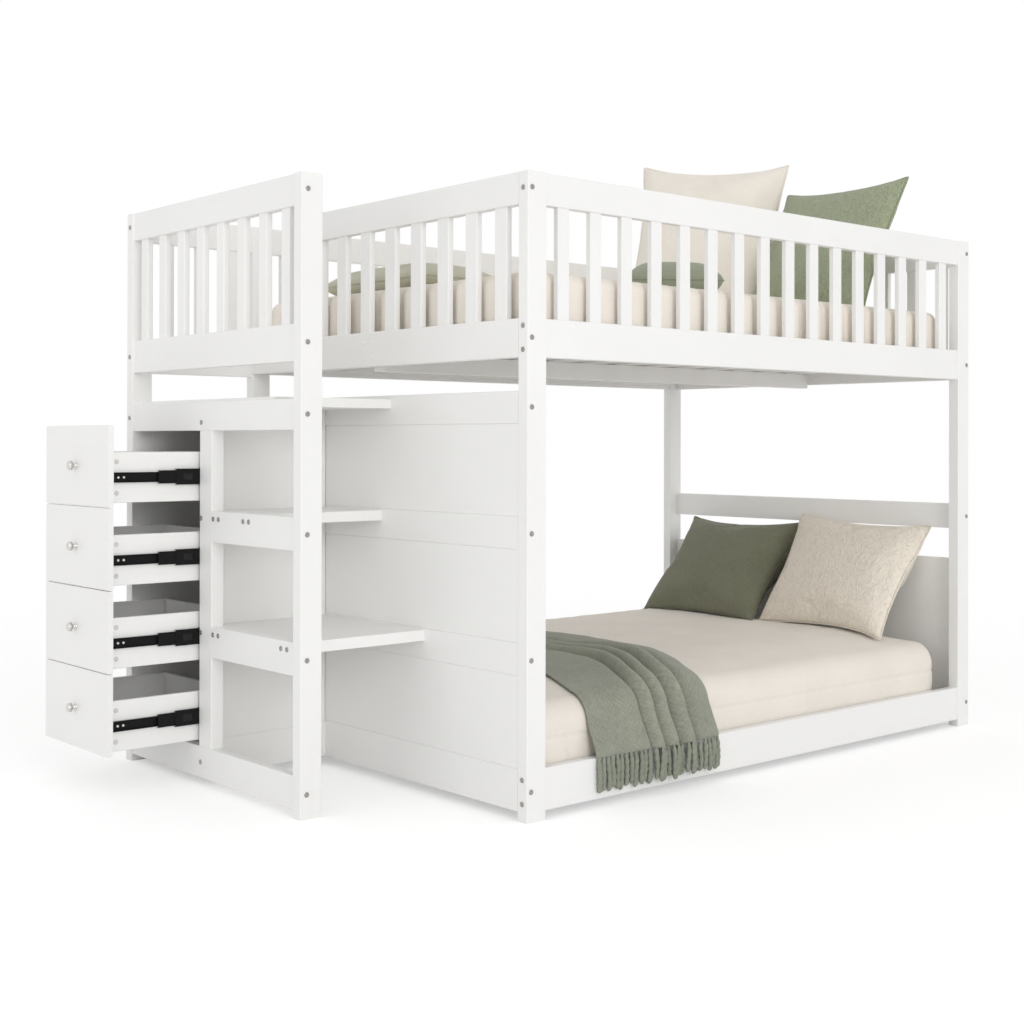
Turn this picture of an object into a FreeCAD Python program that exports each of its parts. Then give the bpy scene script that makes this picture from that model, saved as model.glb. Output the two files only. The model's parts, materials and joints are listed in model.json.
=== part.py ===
import FreeCAD, Part
import math
import os
from FreeCAD import Vector

# Bunk bed with a floor-level lower berth, a stair tower with cubbies at the foot end and four
# drawers that slide out of the tower. Millimetres, +Z up, +X along the bed from foot to head.
# Everything is first placed from the outer floor corner of the near foot post, and moved at the
# end so that the origin is the middle of the model's footprint on the floor.

# Berths: the frame is sized round the mattresses
MATTRESS_WIDTH = 1340.0
MATTRESS_SIDE_GAP = 8.0
UPPER_MATTRESS_LENGTH = 1900.0
MATTRESS_FOOT_GAP = 5.0
UPPER_HEAD_GAP = 55.0
LOWER_HEAD_GAP = 83.0
UPPER_MATTRESS_HEIGHT = 176.0
LOWER_MATTRESS_HEIGHT = 246.0

# Bed posts
POST_HEIGHT = 1680.0
POST_WIDTH = 64.0
POST_THICKNESS = 38.0
EDGE_EASE = 1.5

# Rails between the posts
RAIL_THICKNESS = 28.0
RAIL_SETBACK = 5.0
GUARD_RAIL_HEIGHT = 84.0
UPPER_RAIL_BOTTOM = 1200.0
UPPER_RAIL_HEIGHT = 101.0
LOWER_RAIL_BOTTOM = 23.0
LOWER_RAIL_HEIGHT = 111.0
HEADBOARD_RAIL_BOTTOM = 682.0
HEADBOARD_RAIL_HEIGHT = 86.0
HEADBOARD_GAP = 105.0
HEADBOARD_PANEL_THICKNESS = 18.0

# Guard slats, housed in the rails by short tenons
SLAT_WIDTH = 41.0
SLAT_THICKNESS = 18.0
SLAT_TENON = 10.0
SIDE_SLAT_COUNT = 16
SIDE_SLAT_FIRST = 68.0
SIDE_SLAT_LAST = 79.0
FOOT_SLAT_WIDTH = 50.0
FOOT_SLAT_COUNT = 7
FOOT_SLAT_FIRST = 79.0
OPENING_POST_WIDTH = 38.0
STAIR_OPENING_WIDTH = 369.5
HEAD_SLAT_COUNT = 11

# Foot end panelling: four rails with tongued boards between them
PANEL_RAIL_HEIGHT = 85.0
PANEL_RAIL_COUNT = 3
PANEL_RAIL_PITCH = 326.5
PANEL_TOP_GAP = 86.5
PANEL_BASE_BOTTOM = 25.0
PANEL_BASE_HEIGHT = 110.0
PANEL_THICKNESS = 16.0
PANEL_SETBACK = 1.0
TONGUE_THICKNESS = 6.0
TONGUE_DEPTH = 8.0

# Decks
LEDGER_WIDTH = 25.0
LEDGER_HEIGHT = 25.0
LEDGER_END_GAP = 6.0
DECK_SLAT_THICKNESS = 18.0
DECK_SLAT_WIDTH = 72.0
DECK_SLAT_COUNT = 13
DECK_SLAT_END_GAP = 1.0
DECK_FIRST_SLAT = 20.0
UPPER_LEDGER_RAISE = 15.0
LOWER_LEDGER_RAISE = 9.0
BEAM_WIDTH = 40.0
UPPER_BEAM_HEIGHT = 53.0
BEAM_FOOT_HEIGHT = 20.0
BEAM_FOOT_LENGTH = 60.0
BEAM_FOOT_COUNT = 3

# Stair tower at the foot end
STAIR_DEPTH = 415.0
CUBBY_WIDTH = 442.0
DRAWER_BAY_WIDTH = 419.0
STILE_WIDTH = 70.0
STILE_THICKNESS = 38.0
TOWER_GUARD_DROP = 10.0
TOWER_GUARD_BASE_HEIGHT = 99.0
PLATFORM_RAIL_HEIGHT = 82.0
PLATFORM_RAIL_DROP = 9.0
STEP_RAIL_HEIGHT = 88.0
TOWER_BASE_BOTTOM = 20.0
TOWER_BASE_HEIGHT = 90.0
TOWER_SLAT_COUNT = 8
TOWER_SIDE_SLAT_COUNT = 3
LANDING_DROP = 11.5
LANDING_THICKNESS = 26.0
LANDING_INSET = 191.0
STEP_THICKNESS = 30.0
STEP_DROP = 4.0
STEP_INSETS = (28.0, 237.0)
STEP_TONGUE_GAP = 1.0
STEP_POST_GAP = 0.5
BATTEN_SIZE = 22.0
BATTEN_INSET = 28.0
DIVIDER_THICKNESS = 18.0
DIVIDER_BOTTOM = 25.0
DIVIDER_SEAM = 128.0
SIDE_PANEL_THICKNESS = 16.0
CABINET_FIT_GAP = 2.0

# Drawers
DRAWER_COUNT = 4
DRAWER_OPEN = 252.0
FRONT_THICKNESS = 16.0
FRONT_FRAME_GAP = 1.0
FRONT_SIDE_GAP = 2.0
FRONT_TOP_LAP = 14.0
FRONT_BOTTOM_GAP = 3.0
FRONT_SEAM = 2.0
FRONT_EASE = 2.0
BOX_BACK_GAP = 56.0
BOX_HEIGHT = 140.0
BOX_BOARD = 12.0
BOX_RAISE = 12.0
BOX_FLOOR_THICKNESS = 6.0
BOX_FLOOR_RAISE = 10.0
BOX_GROOVE = 5.0
KNOB_LENGTH = 24.0
KNOB_FLANGE_RADIUS = 9.0
KNOB_FLANGE_THICKNESS = 3.0
KNOB_NECK_RADIUS = 5.5
KNOB_HEAD_RADIUS = 13.0
KNOB_HEAD_THICKNESS = 11.0
KNOB_FACE_RADIUS = 9.0
KNOB_HEAD_LIP = 3.0
KNOB_HEAD_EDGE = 4.0

# Telescopic drawer slides: fixed member, travelling member with its ball cage, drawer member
SLIDE_THICKNESS = 12.5
SLIDE_GAUGE = 1.2
SLIDE_RUNNING_GAP = 0.3
FIXED_BACK_GAP = 58.0
FIXED_INSET = 7.0
TRAVEL_HEIGHT = 45.0
TRAVEL_SHORTER = 100.0
TRAVEL_LIP_GAP = 1.7
TRAVEL_PROUD = 67.0
CAGE_SIDE_GAP = 2.8
CAGE_GAUGE = 0.8
CAGE_LENGTH = 95.0
CAGE_LIP_GAP = 2.8
CAGE_PROUD = 53.0
RUNNER_SIDE_GAP = 3.7
RUNNER_BACK_GAP = 18.0
RUNNER_INSET = 2.0
STAMP_LENGTH = 30.0
STAMP_HEIGHT = 20.0
STAMP_DEPTH = 0.5
STAMP_INSET = 22.0

# Bolts
BOLT_HEAD_RADIUS = 7.0
BOLT_HEAD_HEIGHT = 2.0
BOLT_HEAD_SIDES = 8
SIDE_RAIL_BOLT_SPREAD = 31.0
BATTEN_SCREW_SPREAD = 15.0
BATTEN_SCREW_INSET = 24.0
STEP_BOLT_DROP = 22.0
PLATFORM_BOLT_RAISE = 24.0

# Bedding
SOFT_GAP = 0.3
CHANNEL_LENGTH = 112.0
CHANNEL_BULGE = 9.0
CHANNEL_FACETS = 3
MATTRESS_CORNER = 70.0
MATTRESS_SEAM_DEPTH = 5.0
MATTRESS_SEAM_RISE = 122.0
MATTRESS_BOTTOM_ROUND = 22.0
UPPER_TOP_ROUND = 36.0
UPPER_CROWN = 3.0
UPPER_CROWN_REACH = 110.0
LOWER_TOP_ROUND = 70.0
LOWER_CROWN = 26.0
LOWER_CROWN_REACH = 330.0
LOWER_CROWN_END_REACH = 110.0
ROUND_ANGLES = (30.0, 60.0, 90.0)
PILLOW_PULL = 16.0
PILLOW_FACETS = 4
PILLOW_SHARES = (0.4, 0.7, 0.9)
UPPER_CREAM_WIDTH = 600.0
UPPER_CREAM_HEIGHT = 645.0
UPPER_CREAM_THICKNESS = 190.0
UPPER_CREAM_LEAN_ANGLE = 15.0
UPPER_CREAM_TURN_ANGLE = 26.0
UPPER_GREEN_HEIGHT = 575.0
UPPER_GREEN_THICKNESS = 170.0
UPPER_GREEN_LEAN_ANGLE = 28.0
UPPER_PILLOW_NEAR_GAP = 124.0
UPPER_PILLOW_FAR_GAP = 26.0
UPPER_PILLOW_GAP = 10.0
LOWER_GREEN_WIDTH = 552.0
LOWER_GREEN_HEIGHT = 450.0
LOWER_GREEN_THICKNESS = 170.0
LOWER_GREEN_LEAN_ANGLE = 34.0
LOWER_CREAM_HEIGHT = 480.0
LOWER_CREAM_THICKNESS = 170.0
LOWER_CREAM_LEAN_ANGLE = 33.0
LOWER_PILLOW_NEAR_GAP = 72.0
LOWER_PILLOW_FAR_GAP = 131.0
LOWER_PILLOW_GAP = 10.0
GREEN_CUSHION_WIDTH = 480.0
GREEN_CUSHION_HEIGHT = 310.0
GREEN_CUSHION_TURN_ANGLE = -43.0
GREEN_CUSHION_FROM_HEAD = 898.0
GREEN_CUSHION_FROM_NEAR = 507.0
SAGE_CUSHION_WIDTH = 560.0
SAGE_CUSHION_HEIGHT = 320.0
SAGE_CUSHION_TURN_ANGLE = 0.0
SAGE_CUSHION_FROM_FOOT = 267.0
SAGE_CUSHION_FROM_FAR = 451.0
CUSHION_THICKNESS = 110.0
THROW_FOLDS = 6
THROW_FOLD_HEIGHT = 11.0
THROW_FOLD_FACETS = 4
THROW_THICKNESS = 4.0
THROW_HEM_WIDTH = 500.0
THROW_EDGE_WIDTH = 490.0
THROW_MIDDLE_WIDTH = 590.0
THROW_FAR_WIDTH = 600.0
THROW_START = 238.0
THROW_HEM = 130.0
THROW_RAIL_LIFT = 12.0
FRINGE_END = 42.0
THROW_FAR_INSET = 90.0
THROW_HEAD_CLEAR = 985.0

# Places worked out from the sizes above
BED_LENGTH = UPPER_MATTRESS_LENGTH + MATTRESS_FOOT_GAP + UPPER_HEAD_GAP + 2 * RAIL_THICKNESS
BED_WIDTH = MATTRESS_WIDTH + 2 * (MATTRESS_SIDE_GAP + RAIL_THICKNESS + RAIL_SETBACK)
RAIL_SPAN = (POST_WIDTH, BED_LENGTH - POST_WIDTH)
END_SPAN = (POST_THICKNESS, BED_WIDTH - POST_THICKNESS)
NEAR_RAIL = (RAIL_SETBACK, RAIL_SETBACK + RAIL_THICKNESS)
FAR_RAIL = (BED_WIDTH - NEAR_RAIL[1], BED_WIDTH - NEAR_RAIL[0])
FOOT_RAIL = (0.0, RAIL_THICKNESS)
HEAD_RAIL = (BED_LENGTH - RAIL_THICKNESS, BED_LENGTH)
GUARD_BOTTOM = POST_HEIGHT - GUARD_RAIL_HEIGHT
UPPER_RAIL_TOP = UPPER_RAIL_BOTTOM + UPPER_RAIL_HEIGHT
LOWER_RAIL_TOP = LOWER_RAIL_BOTTOM + LOWER_RAIL_HEIGHT
HEADBOARD_PANEL_TOP = HEADBOARD_RAIL_BOTTOM - HEADBOARD_GAP
OPENING_POST_NEAR = END_SPAN[1] - STAIR_OPENING_WIDTH - OPENING_POST_WIDTH
UPPER_DECK_BASE = UPPER_RAIL_BOTTOM + UPPER_LEDGER_RAISE + LEDGER_HEIGHT
LOWER_DECK_BASE = LOWER_RAIL_BOTTOM + LOWER_LEDGER_RAISE + LEDGER_HEIGHT
PANEL_TOP_CENTRE = UPPER_RAIL_BOTTOM - PANEL_TOP_GAP - PANEL_RAIL_HEIGHT / 2
PANEL_RAIL_CENTRES = [
    PANEL_TOP_CENTRE - PANEL_RAIL_PITCH * index for index in reversed(range(PANEL_RAIL_COUNT))]
PANEL_RAIL_TOPS = [centre + PANEL_RAIL_HEIGHT / 2 for centre in PANEL_RAIL_CENTRES]
TONGUE_FACE = FOOT_RAIL[0] + PANEL_SETBACK + (PANEL_THICKNESS - TONGUE_THICKNESS) / 2
STEP_HOUSING = TONGUE_FACE - STEP_TONGUE_GAP
STEP_TOPS = [top - STEP_DROP for top in PANEL_RAIL_TOPS[:2]]
STEP_RAIL_BOTTOMS = [top - STEP_RAIL_HEIGHT for top in STEP_TOPS]
LANDING_TOP = PANEL_RAIL_TOPS[2] - LANDING_DROP
LANDING_BOTTOM = LANDING_TOP - LANDING_THICKNESS
PLATFORM_RAIL_BOTTOM = LANDING_TOP - PLATFORM_RAIL_DROP - PLATFORM_RAIL_HEIGHT
TOWER_FACE = -STAIR_DEPTH
TOWER_RAIL = (TOWER_FACE + RAIL_SETBACK, TOWER_FACE + RAIL_SETBACK + RAIL_THICKNESS)
STILE_FAR = BED_WIDTH - POST_THICKNESS - DRAWER_BAY_WIDTH
STILE_NEAR = STILE_FAR - STILE_WIDTH
TOWER_SPAN = (STILE_NEAR - CUBBY_WIDTH, BED_WIDTH - POST_THICKNESS)
STAIR_NEAR = TOWER_SPAN[0] - POST_THICKNESS
STEP_FRONTS = [STAIR_NEAR + inset for inset in STEP_INSETS]
LANDING_FRONT = STAIR_NEAR + LANDING_INSET
TOWER_GUARD_BASE_BOTTOM = UPPER_RAIL_BOTTOM - TOWER_GUARD_DROP
STILE_BACK = TOWER_RAIL[0] + STILE_THICKNESS
TOWER_BASE_TOP = TOWER_BASE_BOTTOM + TOWER_BASE_HEIGHT
TOWER_POST_BACK = TOWER_FACE + POST_WIDTH
DIVIDER_NEAR = STILE_FAR - DIVIDER_THICKNESS
FRONT_BOTTOM = TOWER_BASE_TOP + FRONT_BOTTOM_GAP
FRONT_TOP = PLATFORM_RAIL_BOTTOM + FRONT_TOP_LAP
FRONT_HEIGHT = (FRONT_TOP - FRONT_BOTTOM - FRONT_SEAM * (DRAWER_COUNT - 1)) / DRAWER_COUNT
FRONT_BACK = TOWER_FACE - FRONT_FRAME_GAP - DRAWER_OPEN
BOX_DEPTH = STAIR_DEPTH + FRONT_FRAME_GAP - BOX_BACK_GAP
FIXED_LENGTH = STAIR_DEPTH - FIXED_INSET - FIXED_BACK_GAP
TRAVEL_LENGTH = FIXED_LENGTH - TRAVEL_SHORTER
RUNNER_LENGTH = BOX_DEPTH - RUNNER_INSET - RUNNER_BACK_GAP
FIXED_HEIGHT = TRAVEL_HEIGHT + 2 * (SLIDE_GAUGE + SLIDE_RUNNING_GAP)
CAGE_HEIGHT = TRAVEL_HEIGHT - 2 * (SLIDE_GAUGE + CAGE_SIDE_GAP)
RUNNER_HEIGHT = CAGE_HEIGHT - 2 * (CAGE_GAUGE + RUNNER_SIDE_GAP)
TRAVEL_REACH = SLIDE_THICKNESS - SLIDE_GAUGE - TRAVEL_LIP_GAP
CAGE_REACH = SLIDE_THICKNESS - SLIDE_GAUGE - CAGE_LIP_GAP
UPPER_MATTRESS_BOTTOM = UPPER_DECK_BASE + DECK_SLAT_THICKNESS + SOFT_GAP
LOWER_MATTRESS_BOTTOM = LOWER_DECK_BASE + DECK_SLAT_THICKNESS + SOFT_GAP
UPPER_MATTRESS_TOP = UPPER_MATTRESS_BOTTOM + UPPER_MATTRESS_HEIGHT
LOWER_MATTRESS_TOP = LOWER_MATTRESS_BOTTOM + LOWER_MATTRESS_HEIGHT
LOWER_MATTRESS_LENGTH = UPPER_MATTRESS_LENGTH + UPPER_HEAD_GAP - LOWER_HEAD_GAP
MATTRESS_FOOT = FOOT_RAIL[1] + MATTRESS_FOOT_GAP
MATTRESS_NEAR = NEAR_RAIL[1] + MATTRESS_SIDE_GAP
MATTRESS_FAR = MATTRESS_NEAR + MATTRESS_WIDTH
UPPER_CREAM_TURN = math.radians(UPPER_CREAM_TURN_ANGLE)
UPPER_CREAM_FOOTING = UPPER_CREAM_HEIGHT * math.sin(math.radians(UPPER_CREAM_LEAN_ANGLE))
UPPER_CREAM_SPAN = (UPPER_CREAM_WIDTH * math.cos(UPPER_CREAM_TURN)
                    + UPPER_CREAM_FOOTING * math.sin(UPPER_CREAM_TURN))
UPPER_GREEN_WIDTH = (MATTRESS_WIDTH - UPPER_CREAM_SPAN
                     - UPPER_PILLOW_NEAR_GAP - UPPER_PILLOW_GAP - UPPER_PILLOW_FAR_GAP)
LOWER_CREAM_WIDTH = (MATTRESS_WIDTH - LOWER_GREEN_WIDTH
                     - LOWER_PILLOW_NEAR_GAP - LOWER_PILLOW_GAP - LOWER_PILLOW_FAR_GAP)
THROW_FAR = MATTRESS_FAR - THROW_FAR_INSET
THROW_SLANT = (HEAD_RAIL[0] - THROW_HEAD_CLEAR - THROW_FAR_WIDTH - THROW_START) / THROW_FAR


def box(low, high):
    """A plain block between two corners."""
    sizes = [top - bottom for bottom, top in zip(low, high)]
    return Part.makeBox(*sizes, Vector(*low))


def board(low, high, ease=EDGE_EASE):
    """A board between two corners, with the four edges along its length eased."""
    sizes = [top - bottom for bottom, top in zip(low, high)]
    run = sizes.index(max(sizes))
    first, second = [axis for axis in range(3) if axis != run]
    outline = []
    corners = (
        (low, low, 1, 0), (high, low, -1, 0), (high, low, 0, 1), (high, high, 0, -1),
        (high, high, -1, 0), (low, high, 1, 0), (low, high, 0, -1), (low, low, 0, 1),
    )
    for end_a, end_b, move_a, move_b in corners:
        point = list(low)
        point[first] = end_a[first] + move_a * ease
        point[second] = end_b[second] + move_b * ease
        outline.append(Vector(*point))
    length = [0.0, 0.0, 0.0]
    length[run] = sizes[run]
    return Part.Face(closed(outline)).extrude(Vector(*length))


def group(solids):
    """Separate solids kept together as one node."""
    return Part.makeCompound(solids)


def line_edge(start, end):
    """A straight edge between two points."""
    return Part.LineSegment(start, end).toShape()


def arc_edge(start, middle, end):
    """An arc through three points."""
    return Part.Arc(start, middle, end).toShape()


def arched(start, end, rise, facets):
    """Points of a sine arch from one point towards another, without the last one."""
    points = []
    for index in range(facets):
        share = index / facets
        points.append(start + (end - start) * share + rise * math.sin(math.pi * share))
    return points


def closed(points):
    """A closed outline through the given points."""
    return Part.makePolygon(points + points[:1])


def even_centres(low, high, count):
    """The centres of pieces spread evenly between two faces."""
    return [low + (high - low) * (index + 0.5) / count for index in range(count)]


def guard_slats(centres, width, across, along_x, bottom, top):
    """Upright slats at the given centres, with tenons into the rails below and above."""
    slats = []
    middle = sum(across) / 2
    thin = (middle - SLAT_THICKNESS / 2, middle + SLAT_THICKNESS / 2)
    for centre in centres:
        wide = (centre - width / 2, centre + width / 2)
        spans = (wide, thin) if along_x else (thin, wide)
        low = (spans[0][0], spans[1][0], bottom - SLAT_TENON)
        high = (spans[0][1], spans[1][1], top + SLAT_TENON)
        slats.append(board(low, high))
    return slats


def post(x, y):
    """A full-height post with its lower corner at x, y on the floor."""
    return board((x, y, 0.0), (x + POST_WIDTH, y + POST_THICKNESS, POST_HEIGHT))


def side_rail(across, bottom, height):
    """A rail along the bed between two posts."""
    return board((RAIL_SPAN[0], across[0], bottom), (RAIL_SPAN[1], across[1], bottom + height))


def end_rail(along, bottom, height, span=END_SPAN):
    """A rail across the bed between two posts."""
    return board((along[0], span[0], bottom), (along[1], span[1], bottom + height))


def bed_posts(nodes):
    """The four corner posts of the bed."""
    head = BED_LENGTH - POST_WIDTH
    far = BED_WIDTH - POST_THICKNESS
    nodes["post_near_foot"] = post(0.0, 0.0)
    nodes["post_near_head"] = post(head, 0.0)
    nodes["post_far_foot"] = post(0.0, far)
    nodes["post_far_head"] = post(head, far)


def guards_and_rails(nodes):
    """Side and end rails of the upper berth with the slatted guard round it, and the lower side rails."""
    side_first = RAIL_SPAN[0] + SIDE_SLAT_FIRST
    side_pitch = (RAIL_SPAN[1] - SIDE_SLAT_LAST - side_first) / (SIDE_SLAT_COUNT - 1)
    side_centres = [side_first + side_pitch * index for index in range(SIDE_SLAT_COUNT)]
    foot_first = END_SPAN[0] + FOOT_SLAT_FIRST
    foot_pitch = (OPENING_POST_NEAR + OPENING_POST_WIDTH / 2 - foot_first) / FOOT_SLAT_COUNT
    foot_centres = [foot_first + foot_pitch * index for index in range(FOOT_SLAT_COUNT)]
    head_centres = even_centres(END_SPAN[0], END_SPAN[1], HEAD_SLAT_COUNT)
    side_slats = []
    for across in (NEAR_RAIL, FAR_RAIL):
        side_slats += guard_slats(side_centres, SLAT_WIDTH, across, True, UPPER_RAIL_TOP, GUARD_BOTTOM)
    end_slats = guard_slats(foot_centres, FOOT_SLAT_WIDTH, FOOT_RAIL, False, UPPER_RAIL_TOP, GUARD_BOTTOM)
    end_slats += guard_slats(head_centres, SLAT_WIDTH, HEAD_RAIL, False, UPPER_RAIL_TOP, GUARD_BOTTOM)
    every_slat = group(side_slats + end_slats)

    foot_guard_span = (END_SPAN[0], OPENING_POST_NEAR)
    guard_rails = [side_rail(across, GUARD_BOTTOM, GUARD_RAIL_HEIGHT) for across in (NEAR_RAIL, FAR_RAIL)]
    guard_rails.append(end_rail(FOOT_RAIL, GUARD_BOTTOM, GUARD_RAIL_HEIGHT, foot_guard_span))
    guard_rails.append(end_rail(HEAD_RAIL, GUARD_BOTTOM, GUARD_RAIL_HEIGHT))
    sides = (NEAR_RAIL, FAR_RAIL)
    upper_sides = [side_rail(across, UPPER_RAIL_BOTTOM, UPPER_RAIL_HEIGHT) for across in sides]
    upper_ends = [end_rail(along, UPPER_RAIL_BOTTOM, UPPER_RAIL_HEIGHT) for along in (FOOT_RAIL, HEAD_RAIL)]
    lower_sides = [side_rail(across, LOWER_RAIL_BOTTOM, LOWER_RAIL_HEIGHT) for across in sides]

    nodes["side_guard_slats"] = group(side_slats)
    nodes["end_guard_slats"] = group(end_slats)
    nodes["guard_top_rails"] = group([rail.cut(every_slat) for rail in guard_rails])
    nodes["upper_side_rails"] = group([rail.cut(every_slat) for rail in upper_sides])
    nodes["upper_end_rails"] = group([rail.cut(every_slat) for rail in upper_ends])
    nodes["lower_side_rails"] = group(lower_sides)
    opening_low = (FOOT_RAIL[0], OPENING_POST_NEAR, UPPER_RAIL_TOP)
    opening_high = (FOOT_RAIL[1], OPENING_POST_NEAR + OPENING_POST_WIDTH, POST_HEIGHT)
    nodes["stair_opening_post"] = board(opening_low, opening_high)


def headboard(nodes):
    """The low headboard: a solid panel with an open rail above it."""
    nodes["headboard_rail"] = end_rail(HEAD_RAIL, HEADBOARD_RAIL_BOTTOM, HEADBOARD_RAIL_HEIGHT)
    middle = sum(HEAD_RAIL) / 2
    half = HEADBOARD_PANEL_THICKNESS / 2
    low = (middle - half, END_SPAN[0], PANEL_BASE_BOTTOM)
    high = (middle + half, END_SPAN[1], HEADBOARD_PANEL_TOP)
    nodes["headboard_panel"] = board(low, high)


def foot_panel(nodes, housed_boards):
    """The closed foot end: four rails, grooved for the boards and housed for the stair treads."""
    rails = [end_rail(FOOT_RAIL, PANEL_BASE_BOTTOM, PANEL_BASE_HEIGHT)]
    edges = [PANEL_BASE_BOTTOM + PANEL_BASE_HEIGHT]
    for centre in PANEL_RAIL_CENTRES:
        bottom = centre - PANEL_RAIL_HEIGHT / 2
        rails.append(end_rail(FOOT_RAIL, bottom, PANEL_RAIL_HEIGHT))
        edges += [bottom, bottom + PANEL_RAIL_HEIGHT]
    boards = []
    for bottom, top in zip(edges[0::2], edges[1::2]):
        face = FOOT_RAIL[0] + PANEL_SETBACK
        field = board((face, END_SPAN[0], bottom), (face + PANEL_THICKNESS, END_SPAN[1], top))
        tongue_low = (TONGUE_FACE, END_SPAN[0], bottom - TONGUE_DEPTH)
        tongue_high = (TONGUE_FACE + TONGUE_THICKNESS, END_SPAN[1], top + TONGUE_DEPTH)
        boards.append(field.fuse(box(tongue_low, tongue_high)))
    housings = group(boards + housed_boards)
    nodes["foot_panel_rails"] = group([rail.cut(housings) for rail in rails])
    nodes["foot_panel_boards"] = group(boards)


def decks(nodes):
    """Both slatted decks with the ledgers and centre beams that carry them."""
    supports = []
    slats = []
    ledger_span = (RAIL_SPAN[0] + LEDGER_END_GAP, RAIL_SPAN[1] - LEDGER_END_GAP)
    beam_near = (BED_WIDTH - BEAM_WIDTH) / 2
    slat_first = RAIL_SPAN[0] + DECK_FIRST_SLAT
    slat_last = RAIL_SPAN[1] - DECK_FIRST_SLAT - DECK_SLAT_WIDTH
    slat_pitch = (slat_last - slat_first) / (DECK_SLAT_COUNT - 1)
    upper_beam_bottom = UPPER_DECK_BASE - UPPER_BEAM_HEIGHT
    for base, beam_bottom in ((UPPER_DECK_BASE, upper_beam_bottom), (LOWER_DECK_BASE, BEAM_FOOT_HEIGHT)):
        for near in (NEAR_RAIL[1], FAR_RAIL[0] - LEDGER_WIDTH):
            low = (ledger_span[0], near, base - LEDGER_HEIGHT)
            supports.append(board(low, (ledger_span[1], near + LEDGER_WIDTH, base)))
        beam_low = (FOOT_RAIL[1], beam_near, beam_bottom)
        supports.append(board(beam_low, (HEAD_RAIL[0], beam_near + BEAM_WIDTH, base)))
        for index in range(DECK_SLAT_COUNT):
            start = slat_first + slat_pitch * index
            low = (start, NEAR_RAIL[1] + DECK_SLAT_END_GAP, base)
            high = (start + DECK_SLAT_WIDTH, FAR_RAIL[0] - DECK_SLAT_END_GAP, base + DECK_SLAT_THICKNESS)
            slats.append(board(low, high))
    for centre in even_centres(FOOT_RAIL[1], HEAD_RAIL[0], BEAM_FOOT_COUNT):
        low = (centre - BEAM_FOOT_LENGTH / 2, beam_near, 0.0)
        supports.append(box(low, (centre + BEAM_FOOT_LENGTH / 2, beam_near + BEAM_WIDTH, BEAM_FOOT_HEIGHT)))
    nodes["deck_supports"] = group(supports)
    nodes["deck_slats"] = group(slats)


def tower_rail(bottom, height, span=TOWER_SPAN):
    """A rail across the tower's outer frame."""
    return board((TOWER_RAIL[0], span[0], bottom), (TOWER_RAIL[1], span[1], bottom + height))


def tower_side_rail(bottom, height):
    """A rail on the far side of the tower, from its far post back to the bed."""
    return board((TOWER_POST_BACK, FAR_RAIL[0], bottom), (0.0, FAR_RAIL[1], bottom + height))


def stair_tower(nodes):
    """Outer frame of the tower: posts, stile, rails and the slatted guard above the landing."""
    nodes["stair_post_near"] = post(TOWER_FACE, STAIR_NEAR)
    nodes["stair_post_far"] = post(TOWER_FACE, BED_WIDTH - POST_THICKNESS)
    stile_low = (TOWER_RAIL[0], STILE_NEAR, TOWER_BASE_TOP)
    nodes["stair_stile"] = board(stile_low, (STILE_BACK, STILE_FAR, PLATFORM_RAIL_BOTTOM))

    guard_base_top = TOWER_GUARD_BASE_BOTTOM + TOWER_GUARD_BASE_HEIGHT
    front_centres = even_centres(TOWER_SPAN[0], TOWER_SPAN[1], TOWER_SLAT_COUNT)
    side_centres = even_centres(TOWER_POST_BACK, 0.0, TOWER_SIDE_SLAT_COUNT)
    slats = guard_slats(front_centres, SLAT_WIDTH, TOWER_RAIL, False, guard_base_top, GUARD_BOTTOM)
    slats += guard_slats(side_centres, SLAT_WIDTH, FAR_RAIL, True, guard_base_top, GUARD_BOTTOM)
    every_slat = group(slats)
    guard_rails = []
    for make in (tower_rail, tower_side_rail):
        guard_rails.append(make(GUARD_BOTTOM, GUARD_RAIL_HEIGHT).cut(every_slat))
        guard_rails.append(make(TOWER_GUARD_BASE_BOTTOM, TOWER_GUARD_BASE_HEIGHT).cut(every_slat))
    nodes["stair_guard_slats"] = every_slat
    nodes["stair_guard_rails"] = group(guard_rails)
    nodes["platform_rails"] = group([
        make(PLATFORM_RAIL_BOTTOM, PLATFORM_RAIL_HEIGHT) for make in (tower_rail, tower_side_rail)])
    step_span = (TOWER_SPAN[0], STILE_NEAR)
    step_rails = [tower_rail(bottom, STEP_RAIL_HEIGHT, step_span) for bottom in STEP_RAIL_BOTTOMS]
    nodes["step_rails"] = group(step_rails)
    nodes["stair_base_rail"] = tower_rail(TOWER_BASE_BOTTOM, TOWER_BASE_HEIGHT)


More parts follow.
